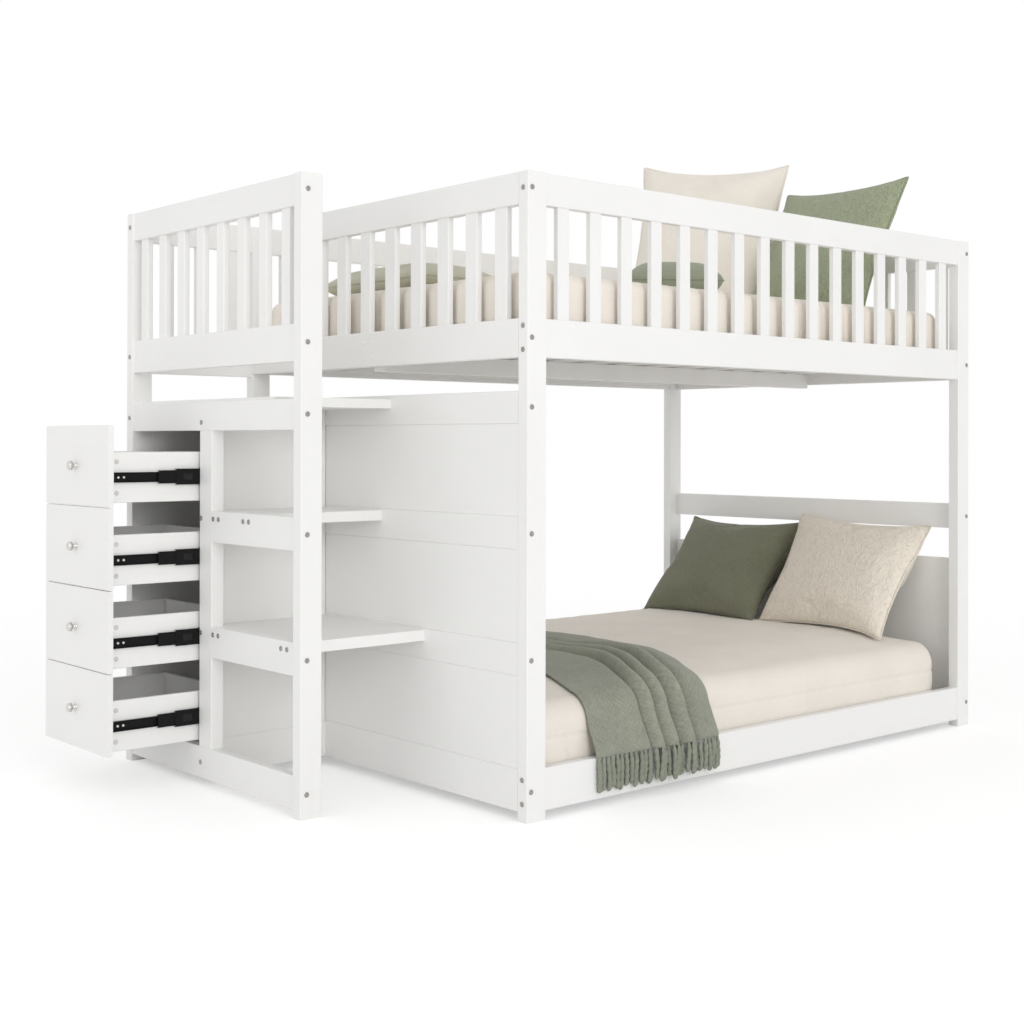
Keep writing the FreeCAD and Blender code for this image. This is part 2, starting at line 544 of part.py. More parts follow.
def treads(nodes):
    """Two steps and the landing, housed in the foot rails and carried on battens behind the front rails.

    The steps are notched round the near post and the stile.
    """
    post_back = (TOWER_POST_BACK + STEP_POST_GAP, TOWER_SPAN[0] + STEP_POST_GAP, POST_HEIGHT)
    post_notch = box((TOWER_FACE, STAIR_NEAR, 0.0), post_back)
    stile_back = (STILE_BACK + STEP_POST_GAP, STILE_FAR, POST_HEIGHT)
    stile_notch = box((TOWER_FACE, STILE_NEAR - STEP_POST_GAP, 0.0), stile_back)
    steps = []
    battens = []
    for top, front in zip(STEP_TOPS, STEP_FRONTS):
        bottom = top - STEP_THICKNESS
        tread = board((TOWER_RAIL[1], front, bottom), (STEP_HOUSING, DIVIDER_NEAR, top))
        steps.append(tread.cut(post_notch).cut(stile_notch))
        batten_near = max(front, TOWER_SPAN[0]) + BATTEN_INSET
        low = (TOWER_RAIL[1], batten_near, bottom - BATTEN_SIZE)
        battens.append(board(low, (TOWER_RAIL[1] + BATTEN_SIZE, STILE_NEAR - CABINET_FIT_GAP, bottom)))
    landing_low = (TOWER_RAIL[1], LANDING_FRONT, LANDING_BOTTOM)
    landing = board(landing_low, (STEP_HOUSING, TOWER_SPAN[1], LANDING_TOP))
    for near, far in ((LANDING_FRONT + BATTEN_INSET, DIVIDER_NEAR), (STILE_FAR, TOWER_SPAN[1])):
        low = (TOWER_RAIL[1], near + CABINET_FIT_GAP, LANDING_BOTTOM - BATTEN_SIZE)
        high = (TOWER_RAIL[1] + BATTEN_SIZE, far - CABINET_FIT_GAP, LANDING_BOTTOM)
        battens.append(board(low, high))
    nodes["step_boards"] = group(steps)
    nodes["landing_board"] = landing
    nodes["step_battens"] = group(battens)
    return steps + [landing]


def cabinet(nodes):
    """The drawer cabinet's two walls: a divider behind the stile and a panel on the far side."""
    lower = board((STILE_BACK, DIVIDER_NEAR, DIVIDER_BOTTOM), (0.0, STILE_FAR, DIVIDER_SEAM))
    upper = board((STILE_BACK, DIVIDER_NEAR, DIVIDER_SEAM), (0.0, STILE_FAR, LANDING_BOTTOM))
    nodes["divider_panel"] = group([lower, upper])
    wall = TOWER_SPAN[1]
    panel_low = (TOWER_POST_BACK, wall, DIVIDER_BOTTOM)
    nodes["cabinet_side_panel"] = board(panel_low, (0.0, wall + SIDE_PANEL_THICKNESS, PLATFORM_RAIL_BOTTOM))


def channel(travel, wall, reach, height, gauge, level):
    """A pressed channel along the travel: an upright web with lips at top and bottom.

    travel is the start and length along the bed, wall is a cabinet wall's place and the way from it
    to the drawer, and reach is how far from that wall the web's outer face lies and the lips end.
    """
    back, lip = reach
    turn = gauge if lip > back else -gauge
    half = height / 2
    outline = (
        (back, -half), (back, half), (lip, half), (lip, half - gauge),
        (back + turn, half - gauge), (back + turn, gauge - half), (lip, gauge - half), (lip, -half),
    )
    points = [Vector(travel[0], wall[0] + wall[1] * away, level + rise) for away, rise in outline]
    return Part.Face(closed(points)).extrude(Vector(travel[1], 0.0, 0.0))


def slide_members(level):
    """The fixed, travelling and drawer members of one drawer's pair of slides."""
    fixed = []
    travelling = []
    runners = []
    travel_back = SLIDE_GAUGE + SLIDE_RUNNING_GAP
    cage_back = travel_back + SLIDE_GAUGE
    runner_lip = cage_back + CAGE_GAUGE + SLIDE_RUNNING_GAP
    travel_start = TOWER_FACE - TRAVEL_PROUD
    fixed_run = (TOWER_FACE + FIXED_INSET, FIXED_LENGTH)
    travel_run = (travel_start, TRAVEL_LENGTH)
    cage_run = (travel_start - CAGE_PROUD, CAGE_LENGTH)
    runner_run = (FRONT_BACK + RUNNER_INSET, RUNNER_LENGTH)
    for wall in ((STILE_FAR, 1), (TOWER_SPAN[1], -1)):
        fixed.append(channel(fixed_run, wall, (0.0, TRAVEL_REACH), FIXED_HEIGHT, SLIDE_GAUGE, level))
        travel = channel(travel_run, wall, (travel_back, TRAVEL_REACH), TRAVEL_HEIGHT, SLIDE_GAUGE, level)
        stamp_faces = sorted(wall[0] + wall[1] * away for away in (travel_back, travel_back + STAMP_DEPTH))
        stamp_low = (travel_start + STAMP_INSET, stamp_faces[0], level - STAMP_HEIGHT / 2)
        stamp_high = (travel_start + STAMP_INSET + STAMP_LENGTH, stamp_faces[1], level + STAMP_HEIGHT / 2)
        travelling.append(travel.cut(box(stamp_low, stamp_high)))
        travelling.append(channel(cage_run, wall, (cage_back, CAGE_REACH), CAGE_HEIGHT, CAGE_GAUGE, level))
        runner_reach = (SLIDE_THICKNESS, runner_lip)
        runners.append(channel(runner_run, wall, runner_reach, RUNNER_HEIGHT, SLIDE_GAUGE, level))
    return fixed, travelling, runners


def drawer_box(bottom):
    """Sides, back and floor of a drawer, the floor let into grooves in the other three."""
    near = STILE_FAR + SLIDE_THICKNESS
    far = TOWER_SPAN[1] - SLIDE_THICKNESS
    back = FRONT_BACK + BOX_DEPTH
    top = bottom + BOX_HEIGHT
    near_side = board((FRONT_BACK, near, bottom), (back, near + BOX_BOARD, top))
    far_side = board((FRONT_BACK, far - BOX_BOARD, bottom), (back, far, top))
    rear = board((back - BOX_BOARD, near + BOX_BOARD, bottom), (back, far - BOX_BOARD, top))
    floor_bottom = bottom + BOX_FLOOR_RAISE
    lap = BOX_BOARD - BOX_GROOVE
    floor_low = (FRONT_BACK, near + lap, floor_bottom)
    floor_high = (back - lap, far - lap, floor_bottom + BOX_FLOOR_THICKNESS)
    floor = box(floor_low, floor_high)
    return group([near_side.cut(floor), far_side.cut(floor), rear.cut(floor), floor])


def knob(face, across, level):
    """A turned knob: flange, waisted neck and a bevelled head with a flat front, revolved about its axis."""
    head_back = KNOB_LENGTH - KNOB_HEAD_THICKNESS
    neck_middle = (KNOB_FLANGE_THICKNESS + head_back) / 2
    profile = (
        (0.0, 0.0), (0.0, KNOB_FLANGE_RADIUS), (KNOB_FLANGE_THICKNESS, KNOB_FLANGE_RADIUS),
        (neck_middle, KNOB_NECK_RADIUS), (head_back, KNOB_HEAD_RADIUS - KNOB_HEAD_LIP),
        (head_back + KNOB_HEAD_LIP, KNOB_HEAD_RADIUS), (KNOB_LENGTH - KNOB_HEAD_EDGE, KNOB_HEAD_RADIUS),
        (KNOB_LENGTH, KNOB_FACE_RADIUS), (KNOB_LENGTH, 0.0),
    )
    points = [Vector(face - reach, across, level + radius) for reach, radius in profile]
    return Part.Face(closed(points)).revolve(points[0], Vector(1.0, 0.0, 0.0), 360.0)


def drawers(nodes):
    """The four drawers, open as they stand at rest, numbered from the top."""
    fixed_members = []
    front_near = STILE_FAR + FRONT_SIDE_GAP
    front_far = TOWER_SPAN[1] - FRONT_SIDE_GAP
    front_face = FRONT_BACK - FRONT_THICKNESS
    for index in range(DRAWER_COUNT):
        name = f"drawer_{index + 1}"
        top = FRONT_TOP - index * (FRONT_HEIGHT + FRONT_SEAM)
        bottom = top - FRONT_HEIGHT
        box_bottom = bottom + BOX_RAISE
        fixed, travelling, runners = slide_members(box_bottom + BOX_HEIGHT / 2)
        fixed_members += fixed
        nodes[name + "_front"] = board(
            (front_face, front_near, bottom), (FRONT_BACK, front_far, top), FRONT_EASE)
        nodes[name + "_box"] = drawer_box(box_bottom)
        nodes[name + "_knob"] = knob(front_face, (front_near + front_far) / 2, (bottom + top) / 2)
        nodes[name + "_runners"] = group(runners)
        nodes[name + "_travelling_slides"] = group(travelling)
    nodes["fixed_slides"] = group(fixed_members)


def bolts(nodes):
    """Every bolt head on the frame, seated on the face it is driven from."""
    heads = []
    turns = [2.0 * math.pi * index / BOLT_HEAD_SIDES for index in range(BOLT_HEAD_SIDES)]
    rim = [(BOLT_HEAD_RADIUS * math.cos(turn), BOLT_HEAD_RADIUS * math.sin(turn)) for turn in turns]

    def drive(x, y, z, direction):
        if direction[0]:
            outline = [Vector(x, y + side, z + rise) for side, rise in rim]
        else:
            outline = [Vector(x + side, y, z + rise) for side, rise in rim]
        heads.append(Part.Face(closed(outline)).extrude(Vector(*direction) * BOLT_HEAD_HEIGHT))

    guard_level = GUARD_BOTTOM + GUARD_RAIL_HEIGHT / 2
    upper_level = UPPER_RAIL_BOTTOM + UPPER_RAIL_HEIGHT / 2
    lower_level = LOWER_RAIL_BOTTOM + LOWER_RAIL_HEIGHT / 2
    base_level = PANEL_BASE_BOTTOM + PANEL_BASE_HEIGHT / 2
    headboard_level = HEADBOARD_RAIL_BOTTOM + HEADBOARD_RAIL_HEIGHT / 2
    foot_levels = [guard_level, upper_level, base_level] + PANEL_RAIL_CENTRES
    head_levels = (guard_level, upper_level, headboard_level, base_level)
    side_levels = [guard_level]
    for level in (upper_level, lower_level):
        side_levels += [level - SIDE_RAIL_BOLT_SPREAD, level + SIDE_RAIL_BOLT_SPREAD]
    for y, direction in ((0.0, (0, -1, 0)), (BED_WIDTH, (0, 1, 0))):
        for z in foot_levels:
            drive(sum(FOOT_RAIL) / 2, y, z, direction)
        for z in head_levels:
            drive(sum(HEAD_RAIL) / 2, y, z, direction)
    for z in side_levels:
        drive(0.0, sum(NEAR_RAIL) / 2, z, (-1, 0, 0))
        drive(BED_LENGTH, sum(NEAR_RAIL) / 2, z, (1, 0, 0))
        drive(BED_LENGTH, sum(FAR_RAIL) / 2, z, (1, 0, 0))

    tower_middle = sum(TOWER_RAIL) / 2
    tower_guard_level = TOWER_GUARD_BASE_BOTTOM + TOWER_GUARD_BASE_HEIGHT / 2
    platform_level = PLATFORM_RAIL_BOTTOM + PLATFORM_RAIL_HEIGHT / 2
    tower_base_level = TOWER_BASE_BOTTOM + TOWER_BASE_HEIGHT / 2
    step_levels = [bottom + STEP_RAIL_HEIGHT / 2 for bottom in STEP_RAIL_BOTTOMS]
    for z in [guard_level, tower_guard_level, platform_level, tower_base_level] + step_levels:
        drive(tower_middle, STAIR_NEAR, z, (0, -1, 0))
    for z in (guard_level, tower_guard_level, platform_level, tower_base_level):
        drive(tower_middle, BED_WIDTH, z, (0, 1, 0))
    for z in (guard_level, tower_guard_level, platform_level):
        drive(TOWER_FACE, BED_WIDTH - POST_THICKNESS / 2, z, (-1, 0, 0))
    divider_middle = DIVIDER_NEAR + DIVIDER_THICKNESS / 2
    divider_top_level = PLATFORM_RAIL_BOTTOM + PLATFORM_BOLT_RAISE
    tread_levels = [top - STEP_BOLT_DROP for top in STEP_TOPS]
    for z in [divider_top_level, tower_base_level] + tread_levels:
        drive(TOWER_RAIL[0], divider_middle, z, (-1, 0, 0))
    for front, z in zip(STEP_FRONTS, tread_levels):
        batten_near = max(front, TOWER_SPAN[0]) + BATTEN_INSET
        for centre in (batten_near + BATTEN_SCREW_INSET, STILE_NEAR - BATTEN_SCREW_INSET):
            for y in (centre - BATTEN_SCREW_SPREAD, centre + BATTEN_SCREW_SPREAD):
                drive(TOWER_RAIL[0], y, z, (-1, 0, 0))
    nodes["frame_bolts"] = group(heads)


def channelled_outline(low, high, level, insets):
    """A mattress outline at one level: one outward arch for each sewn channel along the four sides."""
    x0, y0 = low[0] + insets[0], low[1] + insets[1]
    x1, y1 = high[0] - insets[0], high[1] - insets[1]
    long_count = round((high[0] - low[0]) / CHANNEL_LENGTH)
    short_count = round((high[1] - low[1]) / CHANNEL_LENGTH)
    sides = (
        ((x0, y0), (x1, y0), (0, -1), long_count), ((x1, y0), (x1, y1), (1, 0), short_count),
        ((x1, y1), (x0, y1), (0, 1), long_count), ((x0, y1), (x0, y0), (-1, 0), short_count),
    )
    points = []
    for start, end, out, count in sides:
        begin = Vector(start[0], start[1], level)
        step = (Vector(end[0], end[1], level) - begin) * (1.0 / count)
        bulge = Vector(out[0], out[1], 0.0) * CHANNEL_BULGE
        for index in range(count):
            first = begin + step * index
            points += arched(first, first + step, bulge, CHANNEL_FACETS)
    return closed(points)


def rounded_outline(low, high, level, insets):
    """A mattress outline at one level: straight sides joined by quarter arcs."""
    x0, y0 = low[0] + insets[0], low[1] + insets[1]
    x1, y1 = high[0] - insets[0], high[1] - insets[1]
    radius = MATTRESS_CORNER
    near = radius * (1.0 - math.sqrt(0.5))

    def at(x, y):
        return Vector(x, y, level)

    return Part.Wire([
        line_edge(at(x0 + radius, y0), at(x1 - radius, y0)),
        arc_edge(at(x1 - radius, y0), at(x1 - near, y0 + near), at(x1, y0 + radius)),
        line_edge(at(x1, y0 + radius), at(x1, y1 - radius)),
        arc_edge(at(x1, y1 - radius), at(x1 - near, y1 - near), at(x1 - radius, y1)),
        line_edge(at(x1 - radius, y1), at(x0 + radius, y1)),
        arc_edge(at(x0 + radius, y1), at(x0 + near, y1 - near), at(x0, y1 - radius)),
        line_edge(at(x0, y1 - radius), at(x0, y0 + radius)),
        arc_edge(at(x0, y0 + radius), at(x0 + near, y0 + near), at(x0 + radius, y0)),
    ])


def edge_levels(height, top_round, crown):
    """Levels up the rounded edges of a mattress, each with its inset along the bed and across it."""
    side_top = height - crown - top_round
    levels = [(0.0, MATTRESS_BOTTOM_ROUND / 2), (MATTRESS_BOTTOM_ROUND, 0.0), (side_top, 0.0)]
    for angle in ROUND_ANGLES:
        rise = top_round * math.sin(math.radians(angle))
        inset = top_round * (1.0 - math.cos(math.radians(angle)))
        levels.append((side_top + rise, inset))
    return [(rise, inset, inset) for rise, inset in levels]


def mattress(outline, length, bottom, side_inset, levels):
    """A mattress lofted through one outline for each level."""
    low = (MATTRESS_FOOT, MATTRESS_NEAR)
    high = (MATTRESS_FOOT + length, MATTRESS_FAR)
    wires = []
    for rise, along, across in levels:
        insets = (side_inset + along, side_inset + across)
        wires.append(outline(low, high, bottom + rise, insets))
    return Part.makeLoft(wires, True, True)


def mattresses(nodes):
    """The upper mattress, sewn in channels round its sides, and the fuller lower one with a drawn-in seam."""
    upper_levels = edge_levels(UPPER_MATTRESS_HEIGHT, UPPER_TOP_ROUND, UPPER_CROWN)
    upper_levels.append((UPPER_MATTRESS_HEIGHT, UPPER_CROWN_REACH, UPPER_CROWN_REACH))
    lower_levels = edge_levels(LOWER_MATTRESS_HEIGHT, LOWER_TOP_ROUND, LOWER_CROWN)
    lower_levels.insert(2, (MATTRESS_SEAM_RISE, MATTRESS_SEAM_DEPTH, MATTRESS_SEAM_DEPTH))
    lower_levels.append((LOWER_MATTRESS_HEIGHT, LOWER_CROWN_END_REACH, LOWER_CROWN_REACH))
    nodes["upper_mattress"] = mattress(
        channelled_outline, UPPER_MATTRESS_LENGTH, UPPER_MATTRESS_BOTTOM, CHANNEL_BULGE, upper_levels)
    nodes["lower_mattress"] = mattress(
        rounded_outline, LOWER_MATTRESS_LENGTH, LOWER_MATTRESS_BOTTOM, 0.0, lower_levels)


def flat_sided(solid):
    """The same solid with each of its flat sides held as a plane."""
    sides = []
    for side in solid.Faces:
        corners = [corner.Point for corner in side.OuterWire.OrderedVertexes]
        sides.append(Part.Face(closed(corners)))
    shell = Part.Shell(sides)
    shell.sewShape()
    return Part.Solid(shell)


def pillow(width, height, thickness):
    """A pillow standing on edge at the origin.

    Its seam is an outline whose sides draw in between the corners. Smaller copies of that outline, set
    out on a round crown in front and behind, carry the loft from the back over the seam to the front.
    """
    reach = Vector(0.0, width / 2, 0.0)
    rise = Vector(0.0, 0.0, height / 2)
    corners = [-reach - rise, reach - rise, reach + rise, -reach + rise]
    pulls = [Vector(0.0, 0.0, PILLOW_PULL), Vector(0.0, -PILLOW_PULL, 0.0)]
    pulls += [-pull for pull in pulls]
    seam = []
    for index, pull in enumerate(pulls):
        seam += arched(corners[index], corners[(index + 1) % 4], pull, PILLOW_FACETS)

    def level(share, side):
        crown = Vector(side * math.sqrt(1.0 - share * share) * thickness / 2, 0.0, 0.0)
        return closed([point * share + crown for point in seam])

    wires = [level(share, 1) for share in PILLOW_SHARES]
    wires.append(level(1.0, 0))
    wires += [level(share, -1) for share in reversed(PILLOW_SHARES)]
    return flat_sided(Part.makeLoft(wires, True, True))


def leaning_pillow(width, height, thickness, lean, turn, far, seat):
    """A pillow that stands on a mattress and leans back on the head rail, with its far side given."""
    shape = pillow(width, height, thickness)
    shape.rotate(Vector(0.0, 0.0, 0.0), Vector(0.0, 1.0, 0.0), lean)
    shape.rotate(Vector(0.0, 0.0, 0.0), Vector(0.0, 0.0, 1.0), turn)
    limits = shape.optimalBoundingBox(False)
    along = HEAD_RAIL[0] - SOFT_GAP - limits.XMax
    return shape.translated(Vector(along, far - limits.YMax, seat + SOFT_GAP - limits.ZMin))


def lying_cushion(width, height, turn, along, across):
    """A small cushion that lies flat on the upper mattress."""
    shape = pillow(width, height, CUSHION_THICKNESS)
    shape.rotate(Vector(0.0, 0.0, 0.0), Vector(0.0, 1.0, 0.0), 90.0)
    shape.rotate(Vector(0.0, 0.0, 0.0), Vector(0.0, 0.0, 1.0), turn)
    limits = shape.optimalBoundingBox(False)
    return shape.translated(Vector(along, across, UPPER_MATTRESS_TOP + SOFT_GAP - limits.ZMin))


def pillows(nodes):
    """Two pillows leaning at each head end, and two small cushions lying on the upper mattress."""
    upper_far = MATTRESS_FAR - UPPER_PILLOW_FAR_GAP
    lower_far = MATTRESS_FAR - LOWER_PILLOW_FAR_GAP
    nodes["upper_cream_pillow"] = leaning_pillow(
        UPPER_CREAM_WIDTH, UPPER_CREAM_HEIGHT, UPPER_CREAM_THICKNESS, UPPER_CREAM_LEAN_ANGLE,
        UPPER_CREAM_TURN_ANGLE, upper_far, UPPER_MATTRESS_TOP)
    nodes["upper_green_pillow"] = leaning_pillow(
        UPPER_GREEN_WIDTH, UPPER_GREEN_HEIGHT, UPPER_GREEN_THICKNESS, UPPER_GREEN_LEAN_ANGLE,
        0.0, upper_far - UPPER_CREAM_SPAN - UPPER_PILLOW_GAP, UPPER_MATTRESS_TOP)
    nodes["lower_green_pillow"] = leaning_pillow(
        LOWER_GREEN_WIDTH, LOWER_GREEN_HEIGHT, LOWER_GREEN_THICKNESS, LOWER_GREEN_LEAN_ANGLE,
        0.0, lower_far, LOWER_MATTRESS_TOP)
    nodes["lower_cream_pillow"] = leaning_pillow(
        LOWER_CREAM_WIDTH, LOWER_CREAM_HEIGHT, LOWER_CREAM_THICKNESS, LOWER_CREAM_LEAN_ANGLE,
        0.0, lower_far - LOWER_GREEN_WIDTH - LOWER_PILLOW_GAP, LOWER_MATTRESS_TOP)
    nodes["small_cushions"] = group([
        lying_cushion(
            GREEN_CUSHION_WIDTH, GREEN_CUSHION_HEIGHT, GREEN_CUSHION_TURN_ANGLE,
            HEAD_RAIL[0] - GREEN_CUSHION_FROM_HEAD, MATTRESS_NEAR + GREEN_CUSHION_FROM_NEAR),
        lying_cushion(
            SAGE_CUSHION_WIDTH, SAGE_CUSHION_HEIGHT, SAGE_CUSHION_TURN_ANGLE,
            MATTRESS_FOOT + SAGE_CUSHION_FROM_FOOT, MATTRESS_FAR - SAGE_CUSHION_FROM_FAR),
    ])


def throw_section(across, level, outward, width, share=1.0):
    """One cut across the throw: flat underneath, one arch for each fold on the outside.

    The cut starts further along the bed the further across it lies, and share thins it at the fringe.
    """
    start = THROW_START + THROW_SLANT * max(across, 0.0)
    step = width / THROW_FOLDS
    normal = Vector(0.0, *outward)
    inner = [Vector(start + step * index, across, level) for index in range(THROW_FOLDS + 1)]
    outer = [point + normal * THROW_THICKNESS * share for point in inner]
    crest = normal * THROW_FOLD_HEIGHT * share
    points = []
    for first, second in zip(outer, outer[1:]):
        points += arched(first, second, crest, THROW_FOLD_FACETS)
    return closed(points + [outer[-1], inner[-1], inner[0]])


def throw(nodes):
    """The throw: laid slantwise over the lower mattress, over its near edge and down before the rail."""
    hanging = NEAR_RAIL[0] - SOFT_GAP
    away = (-1.0, 0.0)
    cuts = [
        throw_section(hanging, FRINGE_END, away, THROW_HEM_WIDTH, 0.5),
        throw_section(hanging, THROW_HEM, away, THROW_HEM_WIDTH),
        throw_section(hanging, LOWER_RAIL_TOP + THROW_RAIL_LIFT, away, THROW_HEM_WIDTH),
    ]
    round_across = MATTRESS_NEAR + LOWER_TOP_ROUND
    round_level = LOWER_MATTRESS_TOP - LOWER_CROWN - LOWER_TOP_ROUND
    radius = LOWER_TOP_ROUND + SOFT_GAP
    for angle in ROUND_ANGLES:
        outward = (-math.cos(math.radians(angle)), math.sin(math.radians(angle)))
        across = round_across + radius * outward[0]
        cuts.append(throw_section(across, round_level + radius * outward[1], outward, THROW_EDGE_WIDTH))
    top = LOWER_MATTRESS_TOP + SOFT_GAP
    upward = (0.0, 1.0)
    cuts.append(throw_section(MATTRESS_NEAR + LOWER_CROWN_REACH, top, upward, THROW_EDGE_WIDTH))
    cuts.append(throw_section(MATTRESS_FAR - LOWER_CROWN_REACH, top, upward, THROW_MIDDLE_WIDTH))
    fall_share = (LOWER_CROWN_REACH - THROW_FAR_INSET) / (LOWER_CROWN_REACH - LOWER_TOP_ROUND)
    cuts.append(throw_section(THROW_FAR, top - LOWER_CROWN * fall_share, upward, THROW_FAR_WIDTH))
    nodes["throw"] = Part.makeLoft(cuts, True, True)


def centred(nodes):
    """The nodes moved so that the origin is the middle of the footprint on the floor."""
    limits = FreeCAD.BoundBox()
    for shape in nodes.values():
        limits.add(shape.optimalBoundingBox(False))
    shift = Vector(-(limits.XMin + limits.XMax) / 2, -(limits.YMin + limits.YMax) / 2, 0.0)
    print("size", round(limits.XLength, 2), round(limits.YLength, 2), round(limits.ZLength, 2))
    print("shift", round(shift.x, 3), round(shift.y, 3))
    return {name: shape.translated(shift) for name, shape in nodes.items()}


def main():
    """Builds every node and writes it to its own file."""
    nodes = {}
    bed_posts(nodes)
    guards_and_rails(nodes)
    headboard(nodes)
    housed = treads(nodes)
    foot_panel(nodes, housed)
    decks(nodes)
    stair_tower(nodes)
    cabinet(nodes)
    drawers(nodes)
    bolts(nodes)
    mattresses(nodes)
    pillows(nodes)
    throw(nodes)
    os.makedirs("parts", exist_ok=True)
    for name, shape in centred(nodes).items():
        shape.exportStep(f"parts/{name}.step")
    print("nodes", len(nodes))


main()
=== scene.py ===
"""Looks of a low bunk bed with a stair tower, drawers and bedding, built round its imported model."""

import json
import logging
import math
from dataclasses import dataclass
from enum import Enum
from typing import Any, Callable, Optional

import bmesh
import bpy
import numpy as np
from mathutils import Matrix, Vector

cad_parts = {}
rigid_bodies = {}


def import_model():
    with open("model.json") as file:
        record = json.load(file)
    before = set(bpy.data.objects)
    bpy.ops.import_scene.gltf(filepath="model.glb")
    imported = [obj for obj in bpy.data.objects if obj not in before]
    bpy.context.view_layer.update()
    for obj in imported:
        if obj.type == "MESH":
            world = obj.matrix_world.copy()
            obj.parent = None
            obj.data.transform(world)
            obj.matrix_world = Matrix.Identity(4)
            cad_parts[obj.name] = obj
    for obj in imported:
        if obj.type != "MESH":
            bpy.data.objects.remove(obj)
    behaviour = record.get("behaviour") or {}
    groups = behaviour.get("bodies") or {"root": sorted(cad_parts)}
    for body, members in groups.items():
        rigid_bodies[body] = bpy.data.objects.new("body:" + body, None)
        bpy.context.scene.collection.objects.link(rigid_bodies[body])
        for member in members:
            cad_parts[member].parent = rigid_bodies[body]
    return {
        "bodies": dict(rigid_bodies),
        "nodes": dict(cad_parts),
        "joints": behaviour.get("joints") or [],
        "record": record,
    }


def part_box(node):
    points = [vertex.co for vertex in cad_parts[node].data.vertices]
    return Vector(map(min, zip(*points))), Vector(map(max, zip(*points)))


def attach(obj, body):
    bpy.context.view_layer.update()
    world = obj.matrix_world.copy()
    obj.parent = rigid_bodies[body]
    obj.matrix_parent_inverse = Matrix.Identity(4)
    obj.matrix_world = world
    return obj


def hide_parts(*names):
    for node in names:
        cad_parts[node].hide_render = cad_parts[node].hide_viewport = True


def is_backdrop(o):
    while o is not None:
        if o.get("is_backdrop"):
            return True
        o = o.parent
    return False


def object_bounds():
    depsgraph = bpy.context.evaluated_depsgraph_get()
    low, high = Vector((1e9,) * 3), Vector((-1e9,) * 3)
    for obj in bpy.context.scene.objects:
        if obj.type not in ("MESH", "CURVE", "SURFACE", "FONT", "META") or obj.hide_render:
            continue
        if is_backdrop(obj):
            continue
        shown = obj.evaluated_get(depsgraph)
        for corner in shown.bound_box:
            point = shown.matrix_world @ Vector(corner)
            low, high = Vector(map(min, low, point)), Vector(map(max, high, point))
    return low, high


LOG = logging.getLogger("bunk_bed")
BED = "bed"
DRAWERS = (1, 2, 3, 4)
COLOUR = "NodeSocketColor"
VALUE = "NodeSocketFloat"
VECTOR = "NodeSocketVector"
WHITE = (1.0, 1.0, 1.0, 1.0)
OUT_AT_FOOT = np.array([-1.0, 0.0, 0.0])


class Grain(Enum):
    """The way a board's grain runs, as the stretch of its pattern along the three axes."""

    ALONG = (0.04, 1.0, 1.0)
    ACROSS = (1.0, 0.04, 1.0)
    UPRIGHT = (1.0, 1.0, 0.04)


class Weave(Enum):
    """How a fabric is made."""

    PLAIN = "plain"
    SLUBBED = "slubbed"
    CRINKLED = "crinkled"
    TWILL = "twill"


# Shader graphs


class Graph:
    """Places shader nodes in one tree and joins them."""

    def __init__(self, tree: bpy.types.NodeTree) -> None:
        """Starts with an empty tree."""
        self.tree = tree
        tree.nodes.clear()

    def feed(self, socket: bpy.types.NodeSocket, value: Any) -> None:
        """Joins a socket to another one, or sets its value.

        Args:
            socket: the socket that takes it.
            value: another socket or a plain value.
        """
        if isinstance(value, bpy.types.NodeSocket):
            self.tree.links.new(value, socket)
        else:
            socket.default_value = value

    def node(self, kind: str, inputs: Optional[dict] = None, **settings: Any) -> bpy.types.Node:
        """Adds a node.

        Args:
            kind: Blender's name of the node.
            inputs: values or sockets for its inputs, by name or number.
            settings: its own settings.

        Returns:
            The new node.
        """
        made = self.tree.nodes.new(kind)
        for key, value in settings.items():
            setattr(made, key, value)
        for key, value in (inputs or {}).items():
            self.feed(made.inputs[key], value)
        return made

    def math(self, operation: str, first: Any, second: Any, clamp: bool = False) -> bpy.types.NodeSocket:
        """The result of one operation on two values."""
        inputs = {0: first, 1: second}
        return self.node("ShaderNodeMath", inputs, operation=operation, use_clamp=clamp).outputs[0]

    def plus(self, first: Any, second: Any) -> bpy.types.NodeSocket:
        """The sum of two values."""
        return self.math("ADD", first, second)

    def times(self, first: Any, second: Any) -> bpy.types.NodeSocket:
        """The product of two values."""
        return self.math("MULTIPLY", first, second)

    def vector(self, operation: str, inputs: dict) -> bpy.types.NodeSocket:
        """The result of one operation on vectors."""
        return self.node("ShaderNodeVectorMath", inputs, operation=operation).outputs[0]

    def mix(self, share: Any, first: Any, second: Any) -> bpy.types.NodeSocket:
        """A colour between two others.

        Args:
            share: 0 for the first colour, 1 for the second.
            first: a colour.
            second: another colour.

        Returns:
            The blended colour.
        """
        made = self.node("ShaderNodeMix", data_type="RGBA")
        for number, value in ((0, share), (6, first), (7, second)):
            self.feed(made.inputs[number], value)
        return made.outputs[2]

    def noise(self, vector: Any, scale: float, detail: float = 2.0,
              rough: float = 0.5) -> bpy.types.NodeSocket:
        """A cloudy value between 0 and 1."""
        inputs = {"Vector": vector, "Scale": scale, "Detail": detail, "Roughness": rough}
        return self.node("ShaderNodeTexNoise", inputs).outputs[0]

    def stretched(self, vector: Any, scale: tuple) -> bpy.types.NodeSocket:
        """The same place measured with another scale along each axis."""
        return self.node("ShaderNodeMapping", {"Vector": vector, "Scale": scale}).outputs[0]

    def spread(self, value: Any, low: float, high: float, onto: tuple = (0.0, 1.0)) -> bpy.types.NodeSocket:
        """A value carried from one range onto another, held at its ends."""
        inputs = {0: value, 1: low, 2: high, 3: onto[0], 4: onto[1]}
        return self.node("ShaderNodeMapRange", inputs).outputs[0]


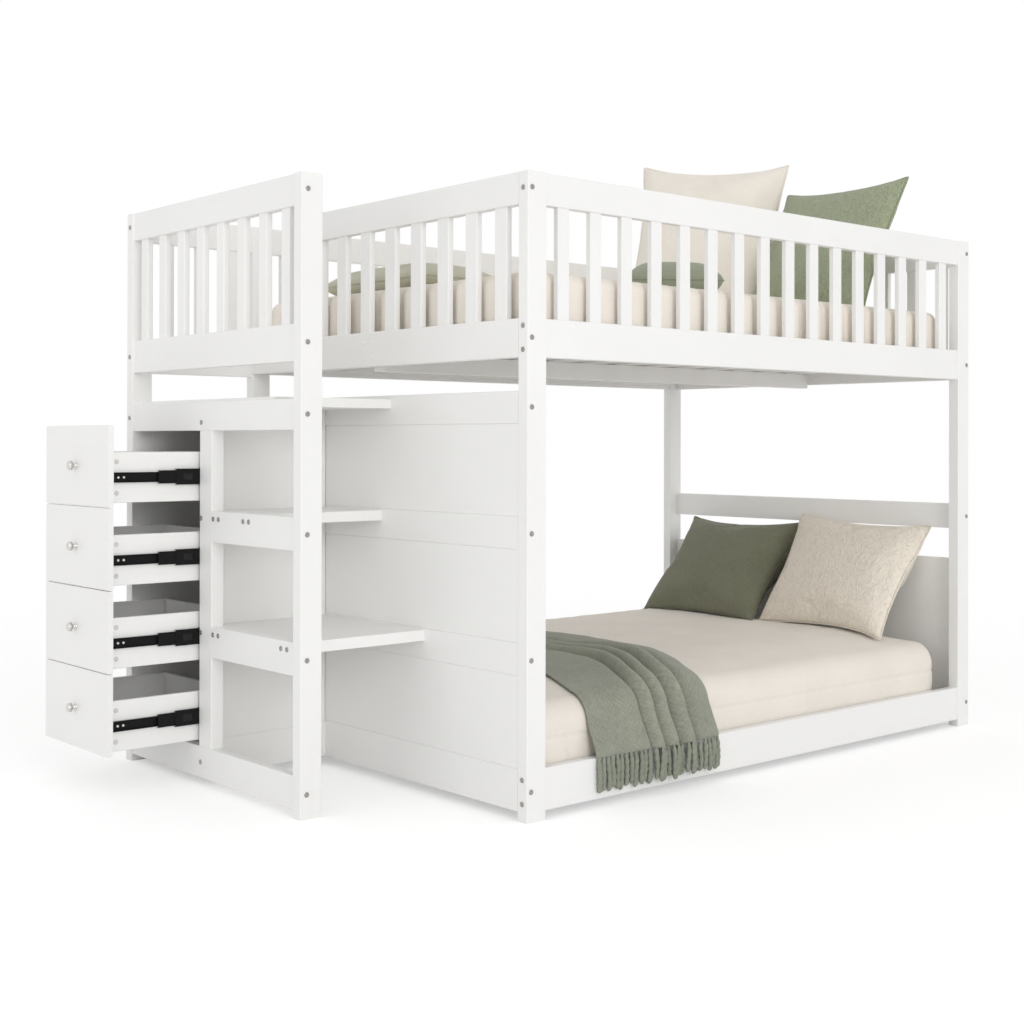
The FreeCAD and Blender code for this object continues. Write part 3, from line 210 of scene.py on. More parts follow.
def shader_group(name: str, inputs: dict) -> tuple[Graph, dict, dict]:
    """Starts a shader node group that puts out a colour, a roughness and a height.

    Args:
        name: the group's name.
        inputs: socket kinds by name.

    Returns:
        The graph, its input sockets by name and its output sockets by name.
    """
    outputs = {"Colour": COLOUR, "Roughness": VALUE, "Height": VALUE}
    tree = bpy.data.node_groups.new(name, "ShaderNodeTree")
    for in_out, sockets in (("INPUT", inputs), ("OUTPUT", outputs)):
        for socket, kind in sockets.items():
            tree.interface.new_socket(socket, in_out=in_out, socket_type=kind)
    graph = Graph(tree)
    start = graph.node("NodeGroupInput")
    end = graph.node("NodeGroupOutput")
    return graph, {n: start.outputs[n] for n in inputs}, {n: end.inputs[n] for n in outputs}


@dataclass
class Effects:
    """The surface effects that several finishes share, each a node group made once.

    Grain, peel, drift, lint, smudge and stretch are clouds in a metre. Tones are the range of the pattern
    that goes from dark to light, and gloss is the range of roughness. Shares weigh the patterns.
    """

    paint_grain: float = 90.0
    paint_peel: float = 520.0
    paint_drift: float = 2.6
    paint_grain_share: float = 0.35
    paint_peel_share: float = 0.3
    paint_tones: tuple = (0.48, 0.92)
    paint_range: tuple = (0.7, 1.3)
    paint_gloss: tuple = (0.33, 0.47)
    slub_along: tuple = (30.0, 420.0, 1.0)
    slub_across: tuple = (420.0, 30.0, 1.0)
    cloth_lint: float = 240.0
    cloth_drift: float = 5.0
    cloth_weave_share: float = 0.25
    cloth_lint_share: float = 0.35
    cloth_drift_share: float = 0.45
    cloth_relief_share: float = 0.45
    cloth_tones: tuple = (0.25, 0.85)
    cloth_gloss: tuple = (0.82, 0.97)
    rib_wander: float = 40.0
    rib_pull: float = 0.02
    rib_stretch: tuple = (1.0, 0.34, 1.0)
    rib_steepness: float = 5.0
    rib_share: float = 0.45
    rib_cells: float = 1.9
    rib_lint: float = 420.0
    rib_lint_share: float = 0.3
    rib_shade_tones: tuple = (0.3, 1.2)
    rib_gloss: tuple = (0.85, 0.98)
    lint_range: tuple = (0.3, 0.7)
    scratch_stretch: tuple = (60.0, 2400.0, 2400.0)
    metal_smudge: float = 120.0
    metal_tones: tuple = (0.3, 0.7)

    def __post_init__(self) -> None:
        """Builds the groups."""
        self.paint = self._paint_film()
        self.cloth = self._woven_cloth()
        self.crinkle = self._crinkled_cloth()
        self.metal = self._metal_grain()

    def _paint_film(self) -> bpy.types.NodeTree:
        """Sprayed paint: faint grain that shows through, orange peel and slow drifts of tone.

        Returns:
            The group.
        """
        graph, given, out = shader_group(
            "paint_film", {"Place": VECTOR, "Grain Place": VECTOR, "Colour": COLOUR, "Shade": COLOUR})
        grain = graph.noise(given["Grain Place"], self.paint_grain, 5.0, 0.62)
        peel = graph.noise(given["Place"], self.paint_peel, 2.0)
        drift = graph.noise(given["Place"], self.paint_drift, 3.0)
        tone = graph.spread(graph.plus(drift, graph.times(grain, self.paint_grain_share)), *self.paint_tones)
        graph.feed(out["Colour"], graph.mix(tone, given["Shade"], given["Colour"]))
        gloss = graph.spread(graph.plus(peel, grain), *self.paint_range, self.paint_gloss)
        graph.feed(out["Roughness"], gloss)
        graph.feed(out["Height"], graph.plus(grain, graph.times(peel, self.paint_peel_share)))
        return graph.tree

    def _woven_cloth(self) -> bpy.types.NodeTree:
        """Over-and-under threads with slubs along both ways, dye that drifts and lint.

        Returns:
            The group.
        """
        graph, given, out = shader_group("woven_cloth", {
            "Place": VECTOR, "Dark": COLOUR, "Light": COLOUR, "Threads": VALUE, "Slub": VALUE})
        parts = graph.node("ShaderNodeSeparateXYZ", {0: given["Place"]}).outputs
        turns = graph.times(given["Threads"], 2.0 * math.pi)
        warp = graph.math("SINE", graph.times(parts[0], turns), 0.0)
        weft = graph.math("SINE", graph.times(parts[1], turns), 0.0)
        weave = graph.plus(graph.times(graph.times(warp, weft), 0.5), 0.5)
        long_slub = graph.noise(graph.stretched(given["Place"], self.slub_along), 1.0, 3.0, 0.6)
        cross_slub = graph.noise(graph.stretched(given["Place"], self.slub_across), 1.0, 3.0, 0.6)
        slubs = graph.times(graph.plus(long_slub, cross_slub), 0.5)
        lint = graph.noise(given["Place"], self.cloth_lint, 2.0, 0.7)
        drift = graph.noise(given["Place"], self.cloth_drift, 3.0)
        threads = graph.times(weave, self.cloth_weave_share)
        fuzzy = graph.plus(threads, graph.times(lint, self.cloth_lint_share))
        uneven = graph.times(graph.math("SUBTRACT", slubs, 0.5), given["Slub"])
        share = graph.plus(graph.plus(fuzzy, uneven), graph.times(drift, self.cloth_drift_share))
        tone = graph.spread(share, *self.cloth_tones)
        graph.feed(out["Colour"], graph.mix(tone, given["Dark"], given["Light"]))
        graph.feed(out["Roughness"], graph.spread(lint, *self.lint_range, self.cloth_gloss))
        graph.feed(out["Height"], graph.plus(graph.times(weave, self.cloth_relief_share), slubs))
        return graph.tree

    def _crinkled_cloth(self) -> bpy.types.NodeTree:
        """Bunched gauze: thin ridges that wander and break into small cells, with painted shade between them:
        the colour darkens where the height falls.

        Returns:
            The group.
        """
        graph, given, out = shader_group("crinkled_cloth", {
            "Place": VECTOR, "Dark": COLOUR, "Light": COLOUR, "Ribs": VALUE, "Break": VALUE})
        clouds = {"Vector": given["Place"], "Scale": self.rib_wander, "Detail": 3.0}
        wander = graph.node("ShaderNodeTexNoise", clouds).outputs[1]
        pull = graph.vector("SUBTRACT", {0: wander, 1: (0.5, 0.5, 0.5)})
        pulled = graph.vector("SCALE", {0: pull, "Scale": self.rib_pull})
        place = graph.vector("ADD", {0: given["Place"], 1: pulled})
        bunched = graph.vector("SCALE", {0: graph.stretched(place, self.rib_stretch), "Scale": given["Ribs"]})
        cloud = graph.math("ABSOLUTE", graph.math("SUBTRACT", graph.noise(bunched, 1.0, 1.5), 0.5), 0.0)
        ridge = graph.math("SUBTRACT", 1.0, graph.times(cloud, self.rib_steepness), True)
        cells = graph.noise(bunched, self.rib_cells, 3.0, 0.6)
        height = graph.plus(graph.times(ridge, self.rib_share), graph.times(cells, given["Break"]))
        lint = graph.noise(given["Place"], self.rib_lint, 2.0, 0.7)
        share = graph.plus(height, graph.times(lint, self.rib_lint_share))
        # painted shade: the colour follows the ridges' height, so it darkens in the hollows between them
        tone = graph.spread(share, *self.rib_shade_tones)
        graph.feed(out["Colour"], graph.mix(tone, given["Dark"], given["Light"]))
        graph.feed(out["Roughness"], graph.spread(lint, *self.lint_range, self.rib_gloss))
        graph.feed(out["Height"], share)
        return graph.tree

    def _metal_grain(self) -> bpy.types.NodeTree:
        """Fine scratches and smudges on bare or coated metal.

        Returns:
            The group.
        """
        graph, given, out = shader_group("metal_grain", {
            "Place": VECTOR, "Dark": COLOUR, "Light": COLOUR, "Smooth": VALUE, "Worn": VALUE})
        scratch = graph.noise(graph.stretched(given["Place"], self.scratch_stretch), 1.0, 2.0)
        smudge = graph.noise(given["Place"], self.metal_smudge, 3.0, 0.6)
        share = graph.plus(graph.times(scratch, 0.5), graph.times(smudge, 0.5))
        tone = graph.spread(share, *self.metal_tones)
        graph.feed(out["Colour"], graph.mix(tone, given["Dark"], given["Light"]))
        graph.feed(out["Roughness"], graph.plus(given["Smooth"], graph.times(share, given["Worn"])))
        graph.feed(out["Height"], scratch)
        return graph.tree


def shades(colour: tuple, share: float) -> tuple:
    """A colour with an alpha, made darker or lighter by one share."""
    return tuple(min(1.0, part * share) for part in colour) + (1.0,)


@dataclass(frozen=True)
class Finish:
    """What every finish has: a name and a colour."""

    name: str
    colour: tuple

    def start(self, place: str) -> tuple[Graph, bpy.types.Material, bpy.types.Node, bpy.types.NodeSocket]:
        """Begins a material.

        Args:
            place: the texture coordinate that the pattern follows.

        Returns:
            Its graph, the material, its main shader and the place to read patterns at.
        """
        material = bpy.data.materials.new(self.name)
        material.use_nodes = True
        graph = Graph(material.node_tree)
        shader = graph.node("ShaderNodeBsdfPrincipled")
        graph.node("ShaderNodeOutputMaterial", {"Surface": shader.outputs[0]})
        return graph, material, shader, graph.node("ShaderNodeTexCoord").outputs[place]

    def dress(self, graph: Graph, shader: bpy.types.Node, group: bpy.types.NodeTree, inputs: dict,
              depth: float) -> None:
        """Places an effect and feeds its colour, its roughness and its height, as bumps, to the shader.

        Args:
            graph: the material's graph.
            shader: the material's main shader.
            group: the effect.
            inputs: what the effect is given, by name.
            depth: the bumps' depth in metres.
        """
        effect = graph.node("ShaderNodeGroup", inputs, node_tree=group)
        graph.feed(shader.inputs["Base Color"], effect.outputs["Colour"])
        graph.feed(shader.inputs["Roughness"], effect.outputs["Roughness"])
        bumps = {"Height": effect.outputs["Height"], "Distance": depth, "Strength": 1.0}
        graph.feed(shader.inputs["Normal"], graph.node("ShaderNodeBump", bumps).outputs[0])


@dataclass(frozen=True)
class PaintedWood(Finish):
    """Satin paint on boards, with the grain faintly raised under it."""

    grain: Grain = Grain.ALONG
    shade: float = 0.965
    depth: float = 0.00012
    specular: float = 0.4
    coat: float = 0.08
    coat_roughness: float = 0.25

    def material(self, effects: Effects) -> bpy.types.Material:
        """Makes the material.

        Args:
            effects: the shared effects.

        Returns:
            The material.
        """
        graph, material, shader, place = self.start("Object")
        inputs = {"Place": place, "Grain Place": graph.stretched(place, self.grain.value),
                  "Colour": shades(self.colour, 1.0), "Shade": shades(self.colour, self.shade)}
        self.dress(graph, shader, effects.paint, inputs, self.depth)
        shader.inputs["Specular IOR Level"].default_value = self.specular
        shader.inputs["Coat Weight"].default_value = self.coat
        shader.inputs["Coat Roughness"].default_value = self.coat_roughness
        return material


@dataclass(frozen=True)
class Metal(Finish):
    """Plated, brushed or coated metal."""

    smooth: float = 0.25
    worn: float = 0.25
    metallic: float = 1.0
    specular: float = 0.5
    depth: float = 0.00002
    dark: float = 0.8
    light: float = 1.1

    def material(self, effects: Effects) -> bpy.types.Material:
        """Makes the material.

        Args:
            effects: the shared effects.

        Returns:
            The material.
        """
        graph, material, shader, place = self.start("Object")
        tones = {"Dark": shades(self.colour, self.dark), "Light": shades(self.colour, self.light)}
        inputs = {"Place": place, **tones, "Smooth": self.smooth, "Worn": self.worn}
        self.dress(graph, shader, effects.metal, inputs, self.depth)
        shader.inputs["Metallic"].default_value = self.metallic
        shader.inputs["Specular IOR Level"].default_value = self.specular
        return material


@dataclass(frozen=True)
class Fabric(Finish):
    """Cloth of one weave, read along the piece's own UV map in metres."""

    weave: Weave = Weave.PLAIN
    count: float = 700.0
    uneven: float = 0.5
    contrast: float = 0.8
    depth: float = 0.0006
    sheen: float = 0.2
    light: float = 1.12
    specular: float = 0.2
    sheen_roughness: float = 0.5
    twill_turn: float = math.radians(45.0)

    def material(self, effects: Effects) -> bpy.types.Material:
        """Makes the material.

        Args:
            effects: the shared effects.

        Returns:
            The material.
        """
        graph, material, shader, place = self.start("UV")
        if self.weave is Weave.CRINKLED:
            group, counts = effects.crinkle, {"Ribs": self.count, "Break": self.uneven}
        else:
            group, counts = effects.cloth, {"Threads": self.count, "Slub": self.uneven}
        if self.weave is Weave.TWILL:
            turned = {"Vector": place, "Rotation": (0.0, 0.0, self.twill_turn)}
            place = graph.node("ShaderNodeMapping", turned).outputs[0]
        tones = {"Dark": shades(self.colour, self.contrast), "Light": shades(self.colour, self.light)}
        self.dress(graph, shader, group, {"Place": place, **tones, **counts}, self.depth)
        shader.inputs["Specular IOR Level"].default_value = self.specular
        shader.inputs["Sheen Weight"].default_value = self.sheen
        shader.inputs["Sheen Roughness"].default_value = self.sheen_roughness
        return material


# Surfaces


def grid_faces(rows: int, columns: int, closed_rows: bool = False,
               closed_columns: bool = False) -> np.ndarray:
    """Quads between neighbouring samples of a grid.

    Args:
        rows: samples down the grid.
        columns: samples along each row.
        closed_rows: whether the last row joins the first.
        closed_columns: whether each row closes on itself.

    Returns:
        Four corner numbers for each quad.
    """
    down = np.arange(rows if closed_rows else rows - 1)
    along = np.arange(columns if closed_columns else columns - 1)
    row, column = np.meshgrid(down, along, indexing="ij")
    next_row = (row + 1) % rows
    next_column = (column + 1) % columns
    corners = [row * columns + column, row * columns + next_column,
               next_row * columns + next_column, next_row * columns + column]
    return np.stack(corners, -1).reshape(-1, 4)


def outward(points: np.ndarray, faces: np.ndarray) -> np.ndarray:
    """Faces of a closed surface, turned so that the volume they hold is positive.

    Args:
        points: the surface's corners.
        faces: four corner numbers for each quad, all turned the same way.

    Returns:
        The faces as they are, or all turned round.
    """
    corners = points[faces]
    volume = np.einsum("ij,ij->", corners[:, 0], np.cross(corners[:, 1], corners[:, 2]))
    volume += np.einsum("ij,ij->", corners[:, 0], np.cross(corners[:, 2], corners[:, 3]))
    return faces if volume > 0 else faces[:, ::-1]


def joined(parts: list[tuple]) -> tuple[np.ndarray, np.ndarray]:
    """Several surfaces as one.

    Args:
        parts: points and quads of each surface.

    Returns:
        One list of points and one of quads.
    """
    counts = np.cumsum([0] + [len(points) for points, _ in parts])
    points = np.concatenate([points for points, _ in parts])
    faces = np.concatenate([faces + shift for (_, faces), shift in zip(parts, counts)])
    return points, faces


def new_piece(name: str, points: np.ndarray, faces: np.ndarray,
              uv: Optional[np.ndarray] = None) -> bpy.types.Object:
    """Puts a surface into the scene as a smooth mesh at the origin.

    Args:
        name: the piece's name.
        points: its corners, in metres.
        faces: four corner numbers for each quad.
        uv: a flat place in metres for each corner, where its finish follows the surface.

    Returns:
        The new object.
    """
    mesh = bpy.data.meshes.new(name)
    mesh.from_pydata(points.tolist(), [], faces.tolist())
    mesh.polygons.foreach_set("use_smooth", np.ones(len(mesh.polygons), bool))
    if uv is not None:
        corner = np.empty(len(mesh.loops), np.int32)
        mesh.loops.foreach_get("vertex_index", corner)
        mesh.uv_layers.new(name="UVMap").data.foreach_set("uv", uv[corner].astype(np.float32).ravel())
    mesh.update()
    piece = bpy.data.objects.new(name, mesh)
    bpy.context.scene.collection.objects.link(piece)
    return piece


def seated(piece: bpy.types.Object, body: str, material: bpy.types.Material) -> bpy.types.Object:
    """Gives a piece its body and its material, and reports it.

    Args:
        piece: the piece.
        body: the body that it moves with.
        material: its finish.

    Returns:
        The same piece.
    """
    piece.data.materials.append(material)
    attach(piece, body)
    LOG.info("%s rides on %s, %d faces", piece.name, body, len(piece.data.polygons))
    return piece


RIPPLE_PEAK = 1.4


def ripple(points: np.ndarray, seed: int, lengths: tuple, count: int = 14) -> np.ndarray:
    """Uneven undulation: sine waves of random direction and phase, added and brought to about one in height.

    Args:
        points: the places to read it at, in metres.
        seed: the number that fixes the waves.
        lengths: the shortest and longest wave, in metres.
        count: how many waves.

    Returns:
        A value of about -1 to 1 for each place.
    """
    draw = np.random.default_rng(seed)
    ways = draw.normal(size=(count, points.shape[-1]))
    ways /= np.linalg.norm(ways, axis=1, keepdims=True)
    turns = 2.0 * np.pi / draw.uniform(lengths[0], lengths[1], count)
    phases = draw.uniform(0.0, 2.0 * np.pi, count)
    waves = np.sin(np.einsum("...k,nk->...n", points, ways) * turns + phases)
    return waves.sum(-1) / math.sqrt(count) / RIPPLE_PEAK


def revolved(profile: np.ndarray, segments: int,
             corner: Optional[np.ndarray] = None) -> tuple[np.ndarray, np.ndarray]:
    """A profile of radius and height turned about the Z axis.

    Args:
        profile: radius and height from the foot to the middle of the top.
        segments: samples round the axis.
        corner: for each profile point, how far its ring goes from a circle towards a hexagon.

    Returns:
        Points and quads, open at the foot and closed at the top by a ring of no size.
    """
    turn = np.linspace(0.0, 2.0 * np.pi, segments, endpoint=False)
    hexagon = math.cos(math.pi / 6) / np.cos((turn % (math.pi / 3)) - math.pi / 6)
    share = np.zeros(len(profile)) if corner is None else corner
    radius = profile[:, :1] * (1.0 + share[:, None] * (hexagon[None, :] - 1.0))
    height = np.repeat(profile[:, 1:], segments, 1)
    points = np.stack([radius * np.cos(turn), radius * np.sin(turn), height], -1)
    return points.reshape(-1, 3), grid_faces(len(profile), segments, closed_columns=True)


def faced(points: np.ndarray, centre: np.ndarray, axis: np.ndarray) -> np.ndarray:
    """Points about the Z axis, turned so that +Z faces along an axis, and moved to a centre."""
    turn = np.array(Vector(axis).to_track_quat("Z", "Y").to_matrix())
    return points @ turn.T + centre


def corners(node: str) -> tuple[np.ndarray, np.ndarray]:
    """The lowest and the highest corner of a CAD node's box."""
    low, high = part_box(node)
    return np.array(low), np.array(high)


def eased(share: np.ndarray) -> np.ndarray:
    """A share held between 0 and 1 and slowed at both: three times its square less twice its cube."""
    held = np.clip(share, 0.0, 1.0)
    return held * held * (3.0 - 2.0 * held)


def lengths_along(points: np.ndarray) -> np.ndarray:
    """How far along a line each of its points lies, from 0 at the first."""
    return np.concatenate([[0.0], np.cumsum(np.linalg.norm(np.diff(points, axis=0), axis=1))])


def sampled(places: np.ndarray, length: np.ndarray, points: np.ndarray) -> np.ndarray:
    """Points of a line at places along it, each coordinate read between its neighbours."""
    return np.stack([np.interp(places, length, points[:, axis]) for axis in range(points.shape[1])], -1)


def smoothed(values: np.ndarray, width: int, axis: int) -> np.ndarray:
    """Values averaged along one axis under a bell of weights, with the ends held.

    Args:
        values: a grid of values.
        width: how many neighbours the bell takes in, an odd number.
        axis: the way that it runs.

    Returns:
        A grid of the same size.
    """
    bell = np.hanning(width) / np.hanning(width).sum()
    margin = [(0, 0)] * values.ndim
    margin[axis] = (width // 2, width // 2)
    longer = np.pad(values, margin, mode="edge")
    steps = np.arange(values.shape[axis])
    return sum(weight * np.take(longer, steps + shift, axis) for shift, weight in enumerate(bell))


# The studio


@dataclass
class Studio:
    """Camera, lamps, floor and white surround.

    Lengths in metres; the eye's place is from the near foot post's floor corner, the others from the origin.
    """

    eye: tuple = (-2.4566, -2.8917, 0.9814)
    yaw: float = math.radians(47.62)
    pitch: float = math.radians(0.177)
    roll: float = math.radians(0.113)
    picture: float = 1024.0
    focal_pixels: float = 1477.455
    centre_pixels: tuple = (580.0, 437.25)
    sensor: float = 36.0
    view_reach: float = 200.0
    floor_half: float = 60.0
    floor_white: tuple = (0.93, 0.93, 0.928)
    floor_shade: float = 0.995
    floor_drift: float = 0.8
    floor_roughness: float = 0.9
    floor_specular: float = 0.1
    floor_fade: tuple = (2.3, 5.5)
    floor_glow: float = 0.25
    floor_lift: float = 0.24
    surround: float = 0.77
    lamp_size: float = 4.5
    key_place: tuple = (-3.0, -10.0, 3.0)
    key_power: float = 258.0
    fill_place: tuple = (-6.5, -0.6, 1.9)
    fill_power: float = 42.0
    aim: tuple = (0.1, 0.0, 0.8)

    def camera(self, corner: np.ndarray) -> None:
        """Sets up the camera: looking along yaw and pitch, rolled, with its shift from the picture's middle.

        Args:
            corner: the corner that the eye's place is measured from.
        """
        level = math.cos(self.pitch)
        ahead = np.array([math.cos(self.yaw) * level, math.sin(self.yaw) * level, math.sin(self.pitch)])
        right = np.array([math.sin(self.yaw), -math.cos(self.yaw), 0.0])
        above = np.cross(right, ahead)
        turned_right = math.cos(self.roll) * right + math.sin(self.roll) * above
        turned_up = -math.sin(self.roll) * right + math.cos(self.roll) * above
        data = bpy.data.cameras.new("camera")
        data.sensor_width = self.sensor
        data.lens = self.sensor * self.focal_pixels / self.picture
        data.shift_x = 0.5 - self.centre_pixels[0] / self.picture
        data.shift_y = self.centre_pixels[1] / self.picture - 0.5
        data.clip_end = self.view_reach
        camera = bpy.data.objects.new("camera", data)
        bpy.context.scene.collection.objects.link(camera)
        place = np.eye(4)
        place[:3, 0], place[:3, 1], place[:3, 2] = turned_right, turned_up, -ahead
        place[:3, 3] = corner + np.array(self.eye)
        camera.matrix_world = Matrix(place.tolist())
        bpy.context.scene.camera = camera

    def lamp(self, name: str, place: tuple, power: float) -> None:
        """Adds a large soft lamp aimed at the bed.

        Args:
            name: the lamp's name.
            place: where it stands.
            power: its power in watts.
        """
        data = bpy.data.lights.new(name, "AREA")
        data.shape = "DISK"
        data.size = self.lamp_size
        data.energy = power
        lamp = bpy.data.objects.new(name, data)
        bpy.context.scene.collection.objects.link(lamp)
        way = Vector(self.aim) - Vector(place)
        lamp.matrix_world = Matrix.Translation(place) @ way.to_track_quat("-Z", "Y").to_matrix().to_4x4()

    def world(self) -> None:
        """White all round where the camera or a reflection sees it, and a plain level of light elsewhere."""
        world = bpy.data.worlds.new("white_surround")
        world.use_nodes = True
        graph = Graph(world.node_tree)
        level = graph.spread(self.seen(graph), 0.0, 1.0, (self.surround, 1.0))
        light = graph.node("ShaderNodeBackground", {"Color": WHITE, "Strength": level})
        graph.node("ShaderNodeOutputWorld", {"Surface": light.outputs[0]})
        bpy.context.scene.world = world

    def floor(self) -> None:
        """A wide pale floor that keeps the shadow near the bed and goes over to plain white further out."""
        half = self.floor_half
        points = np.array([(-half, -half, 0.0), (half, -half, 0.0), (half, half, 0.0), (-half, half, 0.0)])
        floor = new_piece("floor", points, np.array([[0, 1, 2, 3]]))
        graph, material, shader, place = Finish("pale_floor", self.floor_white).start("Object")
        tone = graph.spread(graph.noise(place, self.floor_drift, 2.0), 0.3, 0.7)
        shade = graph.mix(tone, shades(self.floor_white, self.floor_shade), shades(self.floor_white, 1.0))
        graph.feed(shader.inputs["Base Color"], shade)
        shader.inputs["Roughness"].default_value = self.floor_roughness
        shader.inputs["Specular IOR Level"].default_value = self.floor_specular
        distance = graph.node("ShaderNodeVectorMath", {0: place}, operation="LENGTH").outputs["Value"]
        whiteness = graph.spread(distance, *self.floor_fade, (self.floor_glow, 1.0))
        share = graph.times(whiteness, self.seen(graph))
        white = graph.node("ShaderNodeEmission", {"Color": WHITE, "Strength": 1.0})
        lift = graph.times(self.seen(graph), self.floor_lift)
        raised = graph.node("ShaderNodeEmission", {"Color": WHITE, "Strength": lift})
        lifted = graph.node("ShaderNodeAddShader", {0: shader.outputs[0], 1: raised.outputs[0]})
        blend = graph.node("ShaderNodeMixShader", {0: share, 1: lifted.outputs[0], 2: white.outputs[0]})
        end = next(node for node in material.node_tree.nodes if node.type == "OUTPUT_MATERIAL")
        graph.feed(end.inputs["Surface"], blend.outputs[0])
        floor.data.materials.append(material)
        floor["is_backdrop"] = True

    @staticmethod
    def seen(graph: Graph) -> bpy.types.NodeSocket:
        """1 where the camera, a reflection or a view through glass meets the surface, and 0 for light.

        Args:
            graph: the graph that asks.

        Returns:
            The value.
        """
        path = graph.node("ShaderNodeLightPath").outputs
        mirrored = graph.math("MAXIMUM", path["Is Glossy Ray"], path["Is Transmission Ray"])
        return graph.math("MAXIMUM", path["Is Camera Ray"], mirrored)

    def build(self, corner: np.ndarray) -> None:
        """Builds all of it.

        Args:
            corner: the corner that the eye's place is measured from.
        """
        bpy.context.scene.view_settings.view_transform = "Standard"
        self.camera(corner)
        self.world()
        self.floor()
        self.lamp("key", self.key_place, self.key_power)
        self.lamp("fill", self.fill_place, self.fill_power)


# The bed


class Frame:
    """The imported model: its nodes and the corner that places are measured from."""

    place_digits = 5

    def __init__(self) -> None:
        """Loads the model."""
        self.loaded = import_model()
        self.box_at_start = [list(corner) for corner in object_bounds()]
        self.corner = np.array(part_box("post_near_foot")[0])

    def paint(self, material: bpy.types.Material, *nodes: str) -> None:
        """Gives CAD nodes one material.

        Args:
            material: the material.
            nodes: the nodes' names.
        """
        for name in nodes:
            data = self.loaded["nodes"][name].data
            data.materials.clear()
            data.materials.append(material)

    def solids(self, node: str) -> list[np.ndarray]:
        """The corner points of each separate solid in a node.

        Corners at one place share a number. Each triangle passes on the lowest number among its corners until
        nothing changes, so that every solid ends with one number of its own.

        Args:
            node: the node's name.

        Returns:
            One array of points for each solid.
        """
        mesh = self.loaded["nodes"][node].data
        points = np.empty(len(mesh.vertices) * 3, np.float32)
        mesh.vertices.foreach_get("co", points)
        corner = np.empty(len(mesh.loops), np.int32)
        mesh.loops.foreach_get("vertex_index", corner)
        rounded = np.round(points.reshape(-1, 3), self.place_digits)
        places, label = np.unique(rounded, axis=0, return_inverse=True)
        triangles = label.ravel()[corner].reshape(-1, 3)
        owner = np.arange(len(places))
        while True:
            lowest = owner.copy()
            np.minimum.at(lowest, triangles.ravel(), np.repeat(owner[triangles].min(1), 3))
            if np.array_equal(lowest, owner):
                break
            owner = lowest
        return [places[owner == number] for number in np.unique(owner)]


@dataclass
class Woodwork:
    """The painted boards, and the filler plugs in the upper foot rail."""

    frame: Frame
    effects: Effects
    white: tuple = (0.895, 0.89, 0.875)
    plug_radius: float = 0.006
    plug_height: float = 0.0005
    plug_outline: tuple = ((1.0, 0.0), (1.0, 0.6), (0.93, 1.0), (0.0, 1.0))
    plug_segments: int = 24
    plug_middle: tuple = (0.722, 1.2475)
    plug_spread: tuple = (0.0206, 0.022)
    along: tuple = ("upper_side_rails", "lower_side_rails", "guard_top_rails", "deck_supports")
    across: tuple = (
        "upper_end_rails", "headboard_rail", "headboard_panel", "foot_panel_rails", "foot_panel_boards",
        "deck_slats", "stair_guard_rails", "platform_rails", "step_rails", "stair_base_rail", "landing_board",
        "step_boards", "step_battens")
    upright: tuple = (
        "post_near_foot", "post_near_head", "post_far_foot", "post_far_head", "side_guard_slats",
        "end_guard_slats", "stair_opening_post", "stair_post_near", "stair_post_far", "stair_stile",
        "stair_guard_slats", "divider_panel", "cabinet_side_panel")

    def dress(self) -> None:
        """Paints every board along its own grain."""
        paints = {way: PaintedWood("white_paint_" + way.name.lower(), self.white, way) for way in Grain}
        finishes = {way: paint.material(self.effects) for way, paint in paints.items()}
        self.frame.paint(finishes[Grain.ALONG], *self.along)
        self.frame.paint(finishes[Grain.ACROSS], *self.across)
        self.frame.paint(finishes[Grain.UPRIGHT], *self.upright)
        for number in DRAWERS:
            self.frame.paint(finishes[Grain.ACROSS], f"drawer_{number}_front")
            self.frame.paint(finishes[Grain.ALONG], f"drawer_{number}_box")
        self.plugs(finishes[Grain.UPRIGHT])

    def plugs(self, material: bpy.types.Material) -> None:
        """Four painted plugs, two by two, on the outer face of the upper foot rail: low turned buttons.

        Args:
            material: their paint.
        """
        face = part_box("upper_end_rails")[0][0]
        profile = np.array(self.plug_outline) * (self.plug_radius, self.plug_height)
        points, faces = revolved(profile, self.plug_segments)
        parts = []
        for side in (-1, 1):
            for rise in (-1, 1):
                across = self.frame.corner[1] + self.plug_middle[0] + side * self.plug_spread[0]
                level = self.plug_middle[1] + rise * self.plug_spread[1]
                parts.append((faced(points, np.array([face, across, level]), OUT_AT_FOOT), faces))
        seated(new_piece("rail_plugs", *joined(parts)), BED, material)


